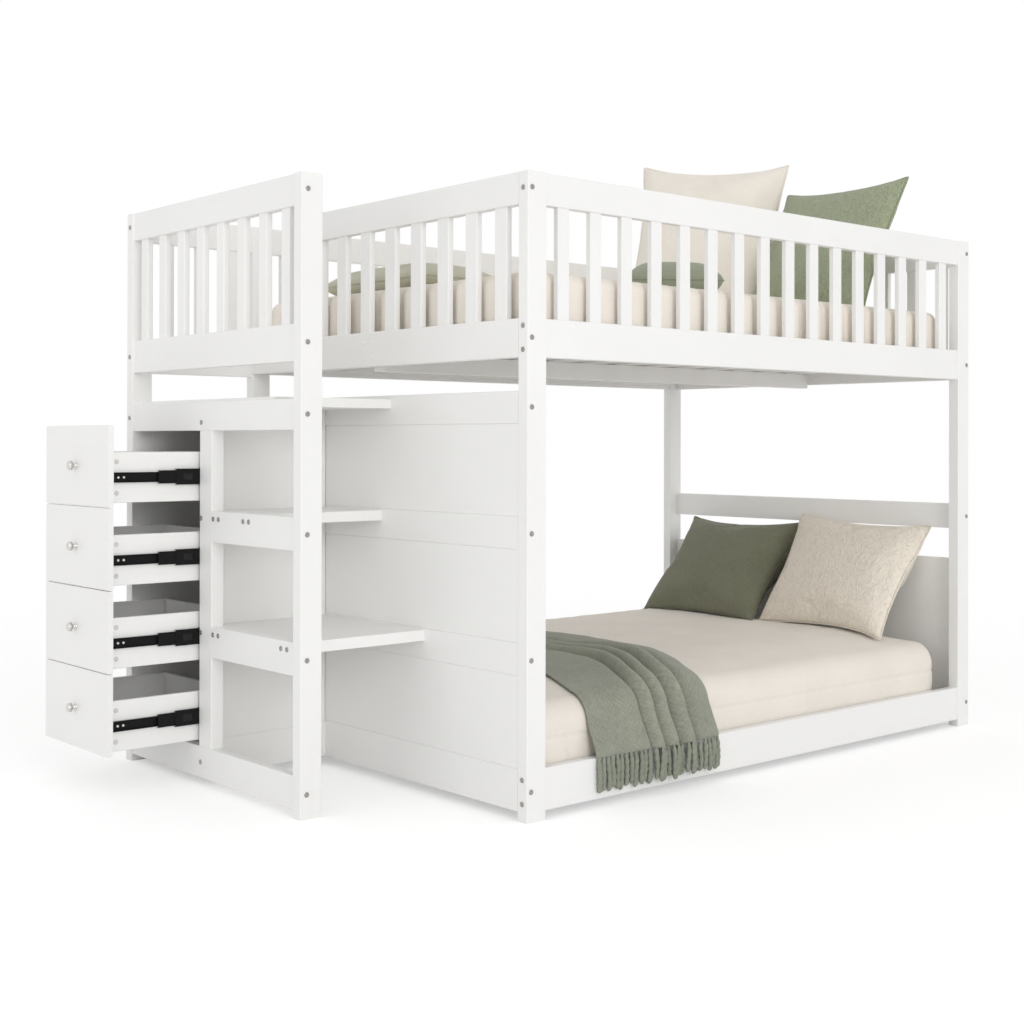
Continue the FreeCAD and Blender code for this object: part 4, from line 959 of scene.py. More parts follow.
@dataclass
class Hardware:
    """Socket bolts, drawer knobs, slides and their screws.

    An outline gives shares of a head's radius or half width and of its height, from the foot to the middle.
    """

    frame: Frame
    effects: Effects
    bolt: Metal = Metal("zinc_bolt", (0.38, 0.365, 0.35), 0.28, 0.2)
    nickel: Metal = Metal("satin_nickel", (0.72, 0.70, 0.67), 0.2, 0.16)
    black: Metal = Metal("black_slide", (0.007, 0.007, 0.0075), 0.38, 0.2, 0.0, 0.14)
    # The stampings' black is a little lighter than the slides': a painted highlight, so that each stamping
    # shows as a faint square.
    stamped: Metal = Metal("stamped_slide", (0.014, 0.014, 0.0145), 0.4, 0.2, 0.0, 0.2)
    cover: Metal = Metal("cam_cover", (0.66, 0.655, 0.64), 0.35, 0.2, 0.0, 0.3)
    bolt_outline: tuple = ((1.0, 0.0), (1.0, 0.55), (0.96, 0.8), (0.86, 1.0))
    bolt_segments: int = 24
    socket_radius: float = 0.0032
    socket_outline: tuple = ((1.18, 1.0), (1.0, 0.93), (1.0, 0.2), (0.0, 0.12))
    socket_sides: tuple = (1.0, 1.0, 1.0, 0.0)
    button_segments: int = 20
    runner_gauge: float = 0.0012
    screw_radius: float = 0.0037
    screw_height: float = 0.0009
    screw_dent: float = 0.7
    screw_places: tuple = (0.018, 0.034)
    cover_radius: float = 0.007
    cover_height: float = 0.0008
    cover_dent: float = 0.35
    cover_inset: float = 0.013
    cover_spread: float = 0.0435
    stamp_inset: float = 0.037
    stamp_half: tuple = (0.0142, 0.0092)
    stamp_depth: float = 0.0005
    stamp_outline: tuple = ((1.0, 0.0), (0.96, 0.9), (0.8, 0.9), (0.72, 0.3), (0.0, 0.3))
    member_least_height: float = 0.04
    knob_segments: int = 48

    def bolts(self) -> None:
        """Bolt heads with a turned rim and a hexagon socket, one on each plain head of the model."""
        rim, socket = np.array(self.bolt_outline), np.array(self.socket_outline)
        sides = np.concatenate([np.zeros(len(rim)), self.socket_sides])
        parts = []
        for solid in self.frame.solids("frame_bolts"):
            size = np.ptp(solid, axis=0)
            thin = int(size.argmin())
            centre = (solid.min(0) + solid.max(0)) / 2
            axis = np.zeros(3)
            axis[thin] = np.sign(centre[thin])
            radius, height = size.max() / 2, size.min()
            foot = centre - axis * height / 2
            profile = np.concatenate([rim * (radius, height), socket * (self.socket_radius, height)])
            points, faces = revolved(profile, self.bolt_segments, sides)
            parts.append((faced(points, foot, axis), faces))
        piece = new_piece("bolt_heads", *joined(parts))
        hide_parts("frame_bolts")
        seated(piece, BED, self.bolt.material(self.effects))

    def knob_profile(self, length: float, radius: float) -> np.ndarray:
        """A knob's outline: flange, waisted neck, and a head with a rounded rim and a shallow dish.

        Flange, neck and rim are shares of the radius. The waist, the head's swell and the rim are quarter
        turns.

        Args:
            length: how far it stands out.
            radius: its head's radius.

        Returns:
            Radius and height from the flange to the middle of the dish.
        """
        turn = np.radians(np.linspace(0.0, 90.0, 7))
        flange, neck, rim = radius * 0.69, radius * 0.42, radius * 0.22
        base = np.array([(1.0, 0.0), (1.0, 0.1), (0.93, 0.125)]) * (flange, length)
        narrow = neck + (flange * 0.8 - neck) * np.cos(turn)
        waist = np.stack([narrow, length * (0.13 + 0.2 * np.sin(turn))], -1)
        widen = radius - (radius - neck) * np.cos(turn)
        swell = np.stack([widen, length * (0.36 + 0.22 * np.sin(turn))], -1)
        edge = np.stack([radius - rim * (1.0 - np.cos(turn)), length - rim * (1.0 - np.sin(turn))], -1)
        dish = np.array([(0.6, 0.985), (0.3, 0.975), (0.0, 0.972)]) * (radius, length)
        return np.concatenate([base, waist, swell, edge, dish])

    def knobs(self, material: bpy.types.Material) -> None:
        """One turned knob on each drawer, in place of the plain one.

        Args:
            material: the knobs' metal.
        """
        for number in DRAWERS:
            node = f"drawer_{number}_knob"
            low, high = corners(node)
            foot = np.array([high[0], (low[1] + high[1]) / 2, (low[2] + high[2]) / 2])
            profile = self.knob_profile(high[0] - low[0], (high[1] - low[1]) / 2)
            points, faces = revolved(profile, self.knob_segments)
            piece = new_piece(f"{node}_turned", faced(points, foot, OUT_AT_FOOT), faces)
            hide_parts(node)
            seated(piece, f"drawer_{number}", material)

    def button(self, radius: float, height: float, dent: float) -> tuple[np.ndarray, np.ndarray]:
        """A low domed head with a dent in its middle.

        Args:
            radius: its radius.
            height: how far it stands out.
            dent: the dent's depth, as a share of the height.

        Returns:
            Points and quads about the Z axis.
        """
        left = 1.0 - dent
        outline = np.array([(1.0, 0.0), (0.97, 0.6), (0.8, 1.0), (0.45, 1.0), (0.36, left), (0.0, left)])
        return revolved(outline * (radius, height), self.button_segments)

    def drawer_fixings(self, screw: bpy.types.Material, cover: bpy.types.Material) -> None:
        """Two screws in each drawer member of the slides, and two cam covers in front on each drawer side.

        Args:
            screw: the screws' metal.
            cover: the covers' finish.
        """
        head, head_faces = self.button(self.screw_radius, self.screw_height, self.screw_dent)
        cap, cap_faces = self.button(self.cover_radius, self.cover_height, self.cover_dent)
        for number in DRAWERS:
            runner_low, runner_high = corners(f"drawer_{number}_runners")
            low, high = corners(f"drawer_{number}_box")
            level = (runner_low[2] + runner_high[2]) / 2
            front = low[0]
            screws, covers = [], []
            for web in self.frame.solids(f"drawer_{number}_runners"):
                near = web[:, 1].mean() < (low[1] + high[1]) / 2
                axis = np.array([0.0, -1.0 if near else 1.0, 0.0])
                side = low[1] if near else high[1]
                for reach in self.screw_places:
                    centre = np.array([front + reach, side + axis[1] * self.runner_gauge, level])
                    screws.append((faced(head, centre, axis), head_faces))
                for rise in (-1, 1):
                    centre = np.array([front + self.cover_inset, side, level + rise * self.cover_spread])
                    covers.append((faced(cap, centre, axis), cap_faces))
            body = f"drawer_{number}"
            seated(new_piece(f"{body}_slide_screws", *joined(screws)), body, screw)
            seated(new_piece(f"{body}_cam_covers", *joined(covers)), body, cover)

    def stampings(self, material: bpy.types.Material) -> None:
        """A raised square frame with a dished middle in the recess at the front of each travelling slide.

        Args:
            material: the stampings' finish.
        """
        shares = np.array(self.stamp_outline)
        square = np.array([(1.0, -1.0), (1.0, 1.0), (-1.0, 1.0), (-1.0, -1.0)]) * self.stamp_half
        flat = shares[:, :1, None] * square[None]
        rise = np.broadcast_to(shares[:, 1:, None] * self.stamp_depth, flat[..., :1].shape)
        stamping = np.concatenate([flat, rise], -1).reshape(-1, 3)
        faces = grid_faces(len(shares), len(square), closed_columns=True)
        for number in DRAWERS:
            members = [solid for solid in self.frame.solids(f"drawer_{number}_travelling_slides")
                       if np.ptp(solid[:, 2]) > self.member_least_height]
            middle = np.mean([member[:, 1].mean() for member in members])
            parts = []
            for member in members:
                near = member[:, 1].mean() < middle
                face = member[:, 1].min() if near else member[:, 1].max()
                axis = np.array([0.0, -1.0 if near else 1.0, 0.0])
                level = (member[:, 2].min() + member[:, 2].max()) / 2
                floor = face - axis[1] * self.stamp_depth
                centre = np.array([member[:, 0].min() + self.stamp_inset, floor, level])
                parts.append((faced(stamping, centre, axis), faces))
            piece = new_piece(f"slides_{number}_stampings", *joined(parts))
            seated(piece, f"slides_{number}", material)

    def build(self) -> None:
        """Makes all fixings and blackens the slides."""
        black = self.black.material(self.effects)
        nickel = self.nickel.material(self.effects)
        self.frame.paint(black, "fixed_slides")
        for number in DRAWERS:
            self.frame.paint(black, f"drawer_{number}_runners", f"drawer_{number}_travelling_slides")
        self.bolts()
        self.knobs(nickel)
        self.drawer_fixings(nickel, self.cover.material(self.effects))
        self.stampings(self.stamped.material(self.effects))


# Bedding


ARC_SAMPLES = 31
SEAM_GATHER = 0.72


def rounded_ring(half: tuple, radius: float, counts: tuple,
                 pitch: float) -> tuple[np.ndarray, np.ndarray, np.ndarray]:
    """A rounded rectangle about the origin, sampled by length along each side.

    The outline is straight runs and quarter arcs. Its corners, the middles of the arcs, divide it into four
    sides. Each sample is drawn towards the nearest whole pitch by a sine, so that they gather at the seams.

    Args:
        half: half its length and half its width.
        radius: the arcs' radius.
        counts: samples along a long side and along a short side.
        pitch: the seams' spacing.

    Returns:
        The samples, the outward way at each, and each one's distance along the outline.
    """
    core = np.array([(1, -1), (1, 1), (-1, 1), (-1, -1)]) * (np.array(half) - radius)
    arc = np.radians(np.linspace(-45.0, 45.0, ARC_SAMPLES))
    turns = arc[None, :] + np.radians([[-45.0], [45.0], [135.0], [225.0]])
    ways = np.stack([np.cos(turns), np.sin(turns)], -1)
    half_arc = (ARC_SAMPLES + 1) // 2
    outline = np.roll((core[:, None] + radius * ways).reshape(-1, 2), half_arc, 0)
    normals = np.roll(ways.reshape(-1, 2), half_arc, 0)
    outline = np.concatenate([outline, outline[:1]])
    normals = np.concatenate([normals, normals[:1]])
    length = lengths_along(outline)
    start = length[::ARC_SAMPLES]
    spans = zip(start[:-1], start[1:], counts * 2)
    places = np.concatenate([np.linspace(first, last, steps, endpoint=False) for first, last, steps in spans])
    seams = round(length[-1] / pitch)
    turns = 2.0 * np.pi * seams * places / length[-1]
    places = places - SEAM_GATHER * np.sin(turns) * length[-1] / (2.0 * np.pi * seams)
    points = np.stack([np.interp(places, length, outline[:, axis], period=length[-1]) for axis in (0, 1)], -1)
    facing = np.stack([np.interp(places, length, normals[:, axis], period=length[-1]) for axis in (0, 1)], -1)
    return points, facing / np.linalg.norm(facing, axis=1, keepdims=True), places


def filled(ring: np.ndarray, counts: tuple) -> np.ndarray:
    """A four-sided patch inside a ring.

    Each point blends the two sides above and below it and the two beside it, less the blend of the four
    corners, which both pairs count.

    Args:
        ring: points round the patch, starting at a corner.
        counts: steps along its first side and along its second.

    Returns:
        A grid of points, one more each way than the counts.
    """
    long, short = counts
    closed = np.concatenate([ring, ring[:1]])
    low = closed[:long + 1]
    right = closed[long:long + short + 1]
    high = closed[long + short:2 * long + short + 1][::-1]
    left = closed[2 * long + short:][::-1]
    u = np.linspace(0.0, 1.0, long + 1)[:, None, None]
    v = np.linspace(0.0, 1.0, short + 1)[None, :, None]
    sides = (1 - v) * low[:, None] + v * high[:, None] + (1 - u) * left[None] + u * right[None]
    ends = (1 - u) * (1 - v) * low[0] + u * (1 - v) * low[-1] + (1 - u) * v * high[0] + u * v * high[-1]
    return sides - ends


def merge(piece: bpy.types.Object, distance: float = 1e-5) -> None:
    """Joins the corners of a mesh that lie at one place, and turns all its faces outwards.

    Args:
        piece: the object whose mesh is mended.
        distance: how near two corners lie to count as one, in metres.
    """
    mesh = bmesh.new()
    mesh.from_mesh(piece.data)
    bmesh.ops.remove_doubles(mesh, verts=mesh.verts, dist=distance)
    bmesh.ops.recalc_face_normals(mesh, faces=mesh.faces)
    mesh.to_mesh(piece.data)
    mesh.free()


@dataclass
class Mattress:
    """A mattress over a CAD solid: rings up its sides, and patches across its bottom and its domed top."""

    node: str
    name: str
    slot: str
    material: bpy.types.Material
    counts: tuple = (200, 140)
    corner: float = 0.075
    channel: float = 0.112
    top_round: float = 0.036
    top_turn: float = math.radians(88.0)
    bottom_round: float = 0.02
    crown: float = 0.003
    shoulder_drop: float = 0.003
    lip: float = 0.062
    lip_rings: int = 4
    bottom_rings: int = 5
    side_rings: int = 26
    top_rings: int = 10
    end_reach: float = 0.11
    near_reach: float = 0.11
    far_reach: float = 0.11
    relief_fade: float = 0.06
    fill: float = 0.85

    def __post_init__(self) -> None:
        """Reads the CAD solid's box."""
        self.low, self.high = corners(self.node)
        self.half = (self.high - self.low)[:2] / 2
        self.centre = np.append((self.high + self.low)[:2] / 2, self.low[2])
        self.shoulder = self.high[2] - self.low[2] - self.shoulder_drop
        self.inset = self.top_round * (1.0 - math.cos(self.top_turn))

    def dome(self, flat: np.ndarray) -> np.ndarray:
        """Rise of the top above its shoulder: the crown times an easing from the ends and one from the sides.

        An easing is 2s less the square of s, where s is the distance inside the rounding over its reach.

        Args:
            flat: places from the mattress's middle.

        Returns:
            The rise at each place, in metres.
        """
        inside = self.half - self.inset - np.abs(flat)
        side_reach = np.where(flat[..., 1] < 0.0, self.near_reach, self.far_reach)
        along = np.clip(inside[..., 0] / self.end_reach, 0.0, 1.0)
        across = np.clip(inside[..., 1] / side_reach, 0.0, 1.0)
        return self.crown * along * (2.0 - along) * across * (2.0 - across)

    def rounding(self, steps: int) -> np.ndarray:
        """The rounded top edge, from the side up to where the dome goes on: an arc of top_turn.

        Args:
            steps: how many samples.

        Returns:
            Inset and level of each sample.
        """
        turn = np.linspace(0.0, self.top_turn, steps)
        drop = self.top_round * (np.sin(turn) - math.sin(self.top_turn))
        return np.stack([self.top_round * (1.0 - np.cos(turn)), self.shoulder + drop], -1)

    def level(self, places: np.ndarray) -> np.ndarray:
        """Height of the top over the floor, on the dome or on the rounded edge.

        Args:
            places: places across the bed.

        Returns:
            The height at each place.
        """
        flat = places[..., :2] - self.centre[:2]
        least = np.clip((self.half - np.abs(flat)).min(-1), 0.0, self.inset)
        curve = self.rounding(4 * self.top_rings)
        return self.low[2] + np.interp(least, curve[:, 0], curve[:, 1]) + self.dome(flat)

    def profile(self) -> np.ndarray:
        """The rings, from under the bottom edge, up the side, over the top edge and inwards.

        Returns:
            Inset and level of each ring.
        """
        low = np.radians(np.linspace(0.0, 90.0, self.bottom_rings))
        bottom = np.stack([self.bottom_round * (1 - np.sin(low)), self.bottom_round * (1 - np.cos(low))], -1)
        top = self.rounding(self.top_rings)
        side_levels = np.linspace(self.bottom_round, top[0, 1], self.side_rings)[1:-1]
        side = np.stack([np.zeros_like(side_levels), side_levels], -1)
        lip = np.linspace(self.inset, self.lip, self.lip_rings)[1:]
        inner = np.stack([lip, np.full_like(lip, self.shoulder)], -1)
        return np.concatenate([bottom, side, top, inner])

    def swell(self, ring: np.ndarray, along: np.ndarray, profile: np.ndarray) -> np.ndarray:
        """How far each sample of each ring stands out from the plain form, in metres: nothing here."""
        return np.zeros((len(profile), len(ring)))

    def top_relief(self, grid: np.ndarray) -> np.ndarray:
        """How far the top rises above its dome at each point of its patch, in metres: nothing here."""
        return np.zeros(grid.shape[:2])

    def build(self) -> bpy.types.Object:
        """Builds the mattress in place of its CAD solid.

        Returns:
            The finished piece.
        """
        ring, facing, along = rounded_ring(tuple(self.half), self.corner, self.counts, self.channel)
        profile = self.profile()
        stand = self.swell(ring, along, profile) - profile[:, :1]
        flat = ring[None] + facing[None] * stand[..., None]
        levels = np.repeat(profile[:, 1:], len(ring), 1)
        levels[-self.lip_rings:] += self.dome(flat[-self.lip_rings:])
        rings = np.concatenate([flat, levels[..., None]], -1)
        top = filled(rings[-1], self.counts)
        bottom = filled(rings[0], self.counts)
        inside = (self.half - self.lip - np.abs(top[..., :2])).min(-1)
        fade = eased(inside / self.relief_fade)
        inner = self.shoulder + self.dome(top[..., :2]) + self.top_relief(top) * fade
        top[1:-1, 1:-1, 2] = inner[1:-1, 1:-1]
        patch = grid_faces(*top.shape[:2])
        sides = grid_faces(len(profile), len(ring), closed_columns=True)
        points, faces = joined([(rings.reshape(-1, 3), sides), (top.reshape(-1, 3), patch[:, ::-1]),
                                (bottom.reshape(-1, 3), patch)])
        rise = np.cumsum(np.linalg.norm(np.diff(profile, axis=0, prepend=profile[:1]), axis=1))
        side_uv = np.stack(np.meshgrid(along, rise, indexing="xy"), -1).reshape(-1, 2)
        uv = np.concatenate([side_uv, top[..., :2].reshape(-1, 2), bottom[..., :2].reshape(-1, 2)])
        piece = new_piece(self.name, points + self.centre, faces, uv)
        merge(piece)
        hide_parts(self.node)
        return seated(piece, BED, self.material)


@dataclass
class ChannelMattress(Mattress):
    """The upper mattress, sewn in upright channels that roll over its top edge and fade."""

    crease: float = 0.021
    sharp: float = 0.36
    roll_over: float = 0.7
    relief: float = 0.0016
    relief_seed: int = 5
    relief_waves: tuple = (0.12, 0.5)

    def swell(self, ring: np.ndarray, along: np.ndarray, profile: np.ndarray) -> np.ndarray:
        """Draws each channel in at its two seams: the crease times one less a root of the half wave between.

        Args:
            ring: the samples of the outline; not used here.
            along: each one's distance along it.
            profile: inset and level of each ring.

        Returns:
            How far each sample of each ring stands out.
        """
        total = 4.0 * self.half.sum() - (8.0 - 2.0 * math.pi) * self.corner
        count = round(total / self.channel)
        wave = np.abs(np.sin(np.pi * count * along / total)) ** self.sharp
        fade = np.clip(1.0 - profile[:, 0] / self.lip, 0.0, 1.0) ** self.roll_over
        return -self.crease * fade[:, None] * (1.0 - wave)[None, :]

    def top_relief(self, grid: np.ndarray) -> np.ndarray:
        """Soft unevenness of the filling."""
        return self.relief * ripple(grid[..., :2], self.relief_seed, self.relief_waves)


@dataclass
class FittedMattress(Mattress):
    """The lower mattress under a loose fitted cover, with puckers down its sides and a drawn-in seam."""

    top_round: float = 0.07
    top_turn: float = math.radians(77.0)
    crown: float = 0.031
    shoulder_drop: float = 0.0278
    end_reach: float = 0.13
    near_reach: float = 0.275
    far_reach: float = 0.115
    seam_rise: float = 0.122
    seam_depth: float = 0.003
    seam_width: float = 0.005
    pucker: float = 0.0036
    pucker_slant: float = 0.22
    pucker_waves: tuple = (0.05, 0.17)
    pucker_sharp: float = 0.16
    pleat_waves: tuple = (0.1, 0.3)
    pleat_share: float = 0.25
    corner_reach: float = 0.14
    corner_weights: tuple = (0.3, 2.2)
    down_weights: tuple = (1.1, 0.9)
    slack: float = 0.0022
    slack_waves: tuple = (0.25, 0.8)
    wrinkle: float = 0.0016
    wrinkle_waves: tuple = (0.12, 0.34)
    wrinkle_stretch: tuple = (1.0, 1.6)
    wrinkle_power: int = 5
    seeds: tuple = (11, 12, 3, 8)

    def swell(self, ring: np.ndarray, along: np.ndarray, profile: np.ndarray) -> np.ndarray:
        """Puckers that deepen downwards, stronger near the corners, and a groove along the seam.

        Args:
            ring: the samples of the outline.
            along: each one's distance along it.
            profile: inset and level of each ring.

        Returns:
            How far each sample of each ring stands out.
        """
        level = profile[:, 1:] / self.shoulder
        places = np.stack(np.broadcast_arrays(along[None, :], profile[:, 1:] * self.pucker_slant), -1)
        wave = np.abs(ripple(places, self.seeds[0], self.pucker_waves))
        pleats = self.pleat_share * ripple(places, self.seeds[1], self.pleat_waves)
        folds = 0.5 - np.exp(-(wave / self.pucker_sharp) ** 2) + pleats
        nearness = np.exp(-np.max(self.half - np.abs(ring), axis=1) / self.corner_reach)
        beside = self.corner_weights[0] + self.corner_weights[1] * nearness
        weight = beside[None, :] * np.clip(self.down_weights[0] - self.down_weights[1] * level, 0.0, 1.0)
        seam = np.exp(-((profile[:, 1:] - self.seam_rise) / self.seam_width) ** 2)
        rest = np.clip(1.0 - profile[:, :1] / self.lip, 0.0, 1.0)
        return rest * (self.pucker * folds * weight - self.seam_depth * seam)

    def top_relief(self, grid: np.ndarray) -> np.ndarray:
        """Slack in the cover: broad undulation with fine wrinkles where a second one crosses nought.

        Args:
            grid: the top's points.

        Returns:
            The rise at each point.
        """
        broad = ripple(grid[..., :2], self.seeds[2], self.slack_waves)
        stretched = grid[..., :2] * np.array(self.wrinkle_stretch)
        ridges = 1.0 - np.abs(ripple(stretched, self.seeds[3], self.wrinkle_waves))
        return self.slack * broad + self.wrinkle * np.clip(ridges, 0.0, 1.0) ** self.wrinkle_power


def tube(path: np.ndarray, radius: float, sides: int) -> tuple[np.ndarray, np.ndarray]:
    """A closed tube along a closed path that lies nearly flat: a ring of samples about each of its points.

    Args:
        path: the points, in order.
        radius: the tube's radius.
        sides: points round each ring.

    Returns:
        Points and quads.
    """
    ahead = np.roll(path, -1, 0) - np.roll(path, 1, 0)
    ahead /= np.linalg.norm(ahead, axis=1, keepdims=True)
    flat = np.cross(ahead, np.array([0.0, 0.0, 1.0]))
    flat /= np.linalg.norm(flat, axis=1, keepdims=True)
    over = np.cross(flat, ahead)
    turn = np.linspace(0.0, 2.0 * np.pi, sides, endpoint=False)[None, :, None]
    rings = path[:, None] + radius * (np.cos(turn) * flat[:, None] + np.sin(turn) * over[:, None])
    return rings.reshape(-1, 3), grid_faces(len(path), sides, True, True)


TICKING = {"quality": 6, "mass": 0.25, "tension_stiffness": 18.0, "compression_stiffness": 18.0,
           "shear_stiffness": 6.0, "bending_stiffness": 0.35, "use_pressure": True}


def inflated(points: np.ndarray, faces: np.ndarray, pressure: float, frames: int, cap: float) -> np.ndarray:
    """Runs a cloth simulation under pressure with no weight, and caps how far each point goes.

    Args:
        points: the cloth's corners.
        faces: its quads, facing outwards.
        pressure: the pressure inside it.
        frames: how many frames run.
        cap: the limit that a point's way from its start comes up to, in metres.

    Returns:
        The corners at the last frame.
    """
    scene = bpy.context.scene
    cloth = new_piece("cloth_trial", points, faces)
    modifier = cloth.modifiers.new("cloth", "CLOTH")
    modifier.point_cache.frame_start = 1
    modifier.point_cache.frame_end = frames
    for setting, value in TICKING.items():
        setattr(modifier.settings, setting, value)
    modifier.settings.uniform_pressure_force = pressure
    modifier.settings.effector_weights.gravity = 0.0
    for frame in range(1, frames + 1):
        scene.frame_set(frame)
    mesh = cloth.evaluated_get(bpy.context.evaluated_depsgraph_get()).data
    moved = np.empty(len(mesh.vertices) * 3, np.float32)
    mesh.vertices.foreach_get("co", moved)
    scene.frame_set(1)
    bpy.data.objects.remove(cloth)
    step = moved.reshape(-1, 3).astype(float) - points
    far = np.maximum(np.linalg.norm(step, axis=1, keepdims=True), 1e-9)
    return points + step * np.tanh(far / cap) * cap / far


@dataclass
class Pillow:
    """A filled pillow: two sheets sewn round the edge, blown up by a cloth simulation, then leaned or laid.

    Angles in degrees, lengths in metres.
    """

    size: tuple
    lean: float
    middle: tuple
    support: Callable[[np.ndarray], np.ndarray]
    back: Optional[float] = None
    turn: float = 0.0
    roll: float = 0.0
    twist: float = 0.0
    shift: float = 0.0
    full: int = 2
    blunt: float = 0.035
    pull: float = 0.004
    samples: tuple = (64, 56)
    pressure: float = 4.0
    frames: int = 20
    cap: float = 0.024
    sink: float = 0.014
    soft: float = 0.006
    foot_depth: float = 0.02
    piping: float = 0.0026
    piping_sides: int = 6

    def sheets(self) -> tuple[np.ndarray, np.ndarray, np.ndarray]:
        """The two sheets before filling, in the pillow's own plane.

        Each side draws in between its corners by a parabola, and the corners are tucked in by the eighth
        power of the places' product. The thickness is the root of the product of one less a power of each
        place, so that it is nothing along the seam.

        Returns:
            Points, quads, and the corner numbers round the seam.
        """
        columns, rows = self.samples
        u, v = np.meshgrid(np.linspace(-1, 1, columns), np.linspace(-1, 1, rows), indexing="ij")
        width, height, thick = self.size
        tuck = 1.0 - self.blunt * (u * v) ** 8
        across = width / 2 * u * tuck * (1 - 2 * self.pull / width * (1 - v * v) * u * u)
        up = height / 2 * v * tuck * (1 - 2 * self.pull / height * (1 - u * u) * v * v)
        out = thick / 2 * np.sqrt((1 - np.abs(u) ** self.full) * (1 - np.abs(v) ** self.full))
        front = np.stack([across, up, out], -1).reshape(-1, 3)
        back = front * np.array([1.0, 1.0, -1.0])
        inside = np.ones((columns, rows), bool)
        inside[[0, -1], :] = False
        inside[:, [0, -1]] = False
        number = np.arange(columns * rows)
        behind = np.where(inside.ravel(), columns * rows + np.cumsum(inside.ravel()) - 1, number)
        quads = grid_faces(columns, rows)
        points = np.concatenate([front, back[inside.ravel()]])
        faces = outward(points, np.concatenate([quads, behind[quads][:, ::-1]]))
        grid = number.reshape(columns, rows)
        seam = np.concatenate([grid[:-1, 0], grid[-1, :-1], grid[:0:-1, -1], grid[0, :0:-1]])
        return points, faces, seam

    def filled_form(self, points: np.ndarray, faces: np.ndarray) -> np.ndarray:
        """Args:
            points: the sheets' corners.
            faces: their quads.

        Returns:
            The corners after filling.
        """
        shape = inflated(points, faces, self.pressure, self.frames, self.cap)
        return (shape - (shape.max(0) + shape.min(0)) / 2) * (np.array(self.size) / np.ptp(shape, axis=0))

    def placed(self, points: np.ndarray) -> np.ndarray:
        """Rolls the pillow in its plane, leans it back, turns it about the upright and seats it.

        The lean changes across the width by the twist. The lowest stretch sinks by a little, is pressed flat,
        and follows what carries it; that fades with height.

        Args:
            points: the pillow's corners in its own plane.

        Returns:
            The corners in the scene.
        """
        roll = math.radians(self.roll)
        across = points[:, 0] * math.cos(roll) - points[:, 1] * math.sin(roll)
        up = points[:, 0] * math.sin(roll) + points[:, 1] * math.cos(roll)
        lean = np.radians(self.lean + self.twist * 2.0 * across / self.size[0])
        along = up * np.sin(lean) - points[:, 2] * np.cos(lean)
        level = up * np.cos(lean) + points[:, 2] * np.sin(lean)
        turn = math.radians(self.turn)
        x = along * math.cos(turn) - across * math.sin(turn)
        y = along * math.sin(turn) + across * math.cos(turn)
        x += self.middle[0] - (x.max() + x.min()) / 2 if self.back is None else self.back - x.max()
        y += self.middle[1] + self.shift - (y.max() + y.min()) / 2
        rise = level - level.min() - self.sink
        pressed = self.soft * np.logaddexp(0.0, rise / self.soft)
        pressed -= pressed.min()
        ground = self.support(np.stack([x, y], -1))
        foot = ground[rise < self.foot_depth].mean()
        share = np.clip(pressed / np.ptp(pressed), 0.0, 1.0)
        return np.stack([x, y, foot * share + ground * (1.0 - share) + pressed], -1)

    def form(self) -> tuple[np.ndarray, np.ndarray, np.ndarray]:
        """The whole pillow with its piped seam.

        Returns:
            Points, quads, and a flat place for each point.
        """
        sheets, faces, seam = self.sheets()
        uv = sheets[:, :2] + np.array(self.middle)
        shape = self.filled_form(sheets, faces)
        cord = tube(shape[seam], self.piping, self.piping_sides)
        points, faces = joined([(shape, faces), cord])
        return self.placed(points), faces, np.concatenate([uv, np.repeat(uv[seam], self.piping_sides, 0)])


def padded_piece(name: str, node: str, materials: list, pillows: list[Pillow]) -> bpy.types.Object:
    """Builds the pillows that stand for one node as one softened piece.

    Args:
        name: the piece's name.
        node: the CAD node that it replaces.
        materials: the finish of each pillow.
        pillows: the pillows.

    Returns:
        The finished piece.
    """
    forms = [pillow.form() for pillow in pillows]
    points, faces = joined([(points, faces) for points, faces, _ in forms])
    piece = new_piece(name, points, faces, np.concatenate([uv for _, _, uv in forms]))
    owner = np.repeat(np.arange(len(forms)), [len(faces) for _, faces, _ in forms])
    piece.data.polygons.foreach_set("material_index", owner.astype(np.int32) % len(materials))
    smooth = piece.modifiers.new("soften", "SUBSURF")
    smooth.levels = 1
    smooth.render_levels = 1
    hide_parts(node)
    seated(piece, BED, materials[0])
    for material in materials[1:]:
        piece.data.materials.append(material)
    return piece


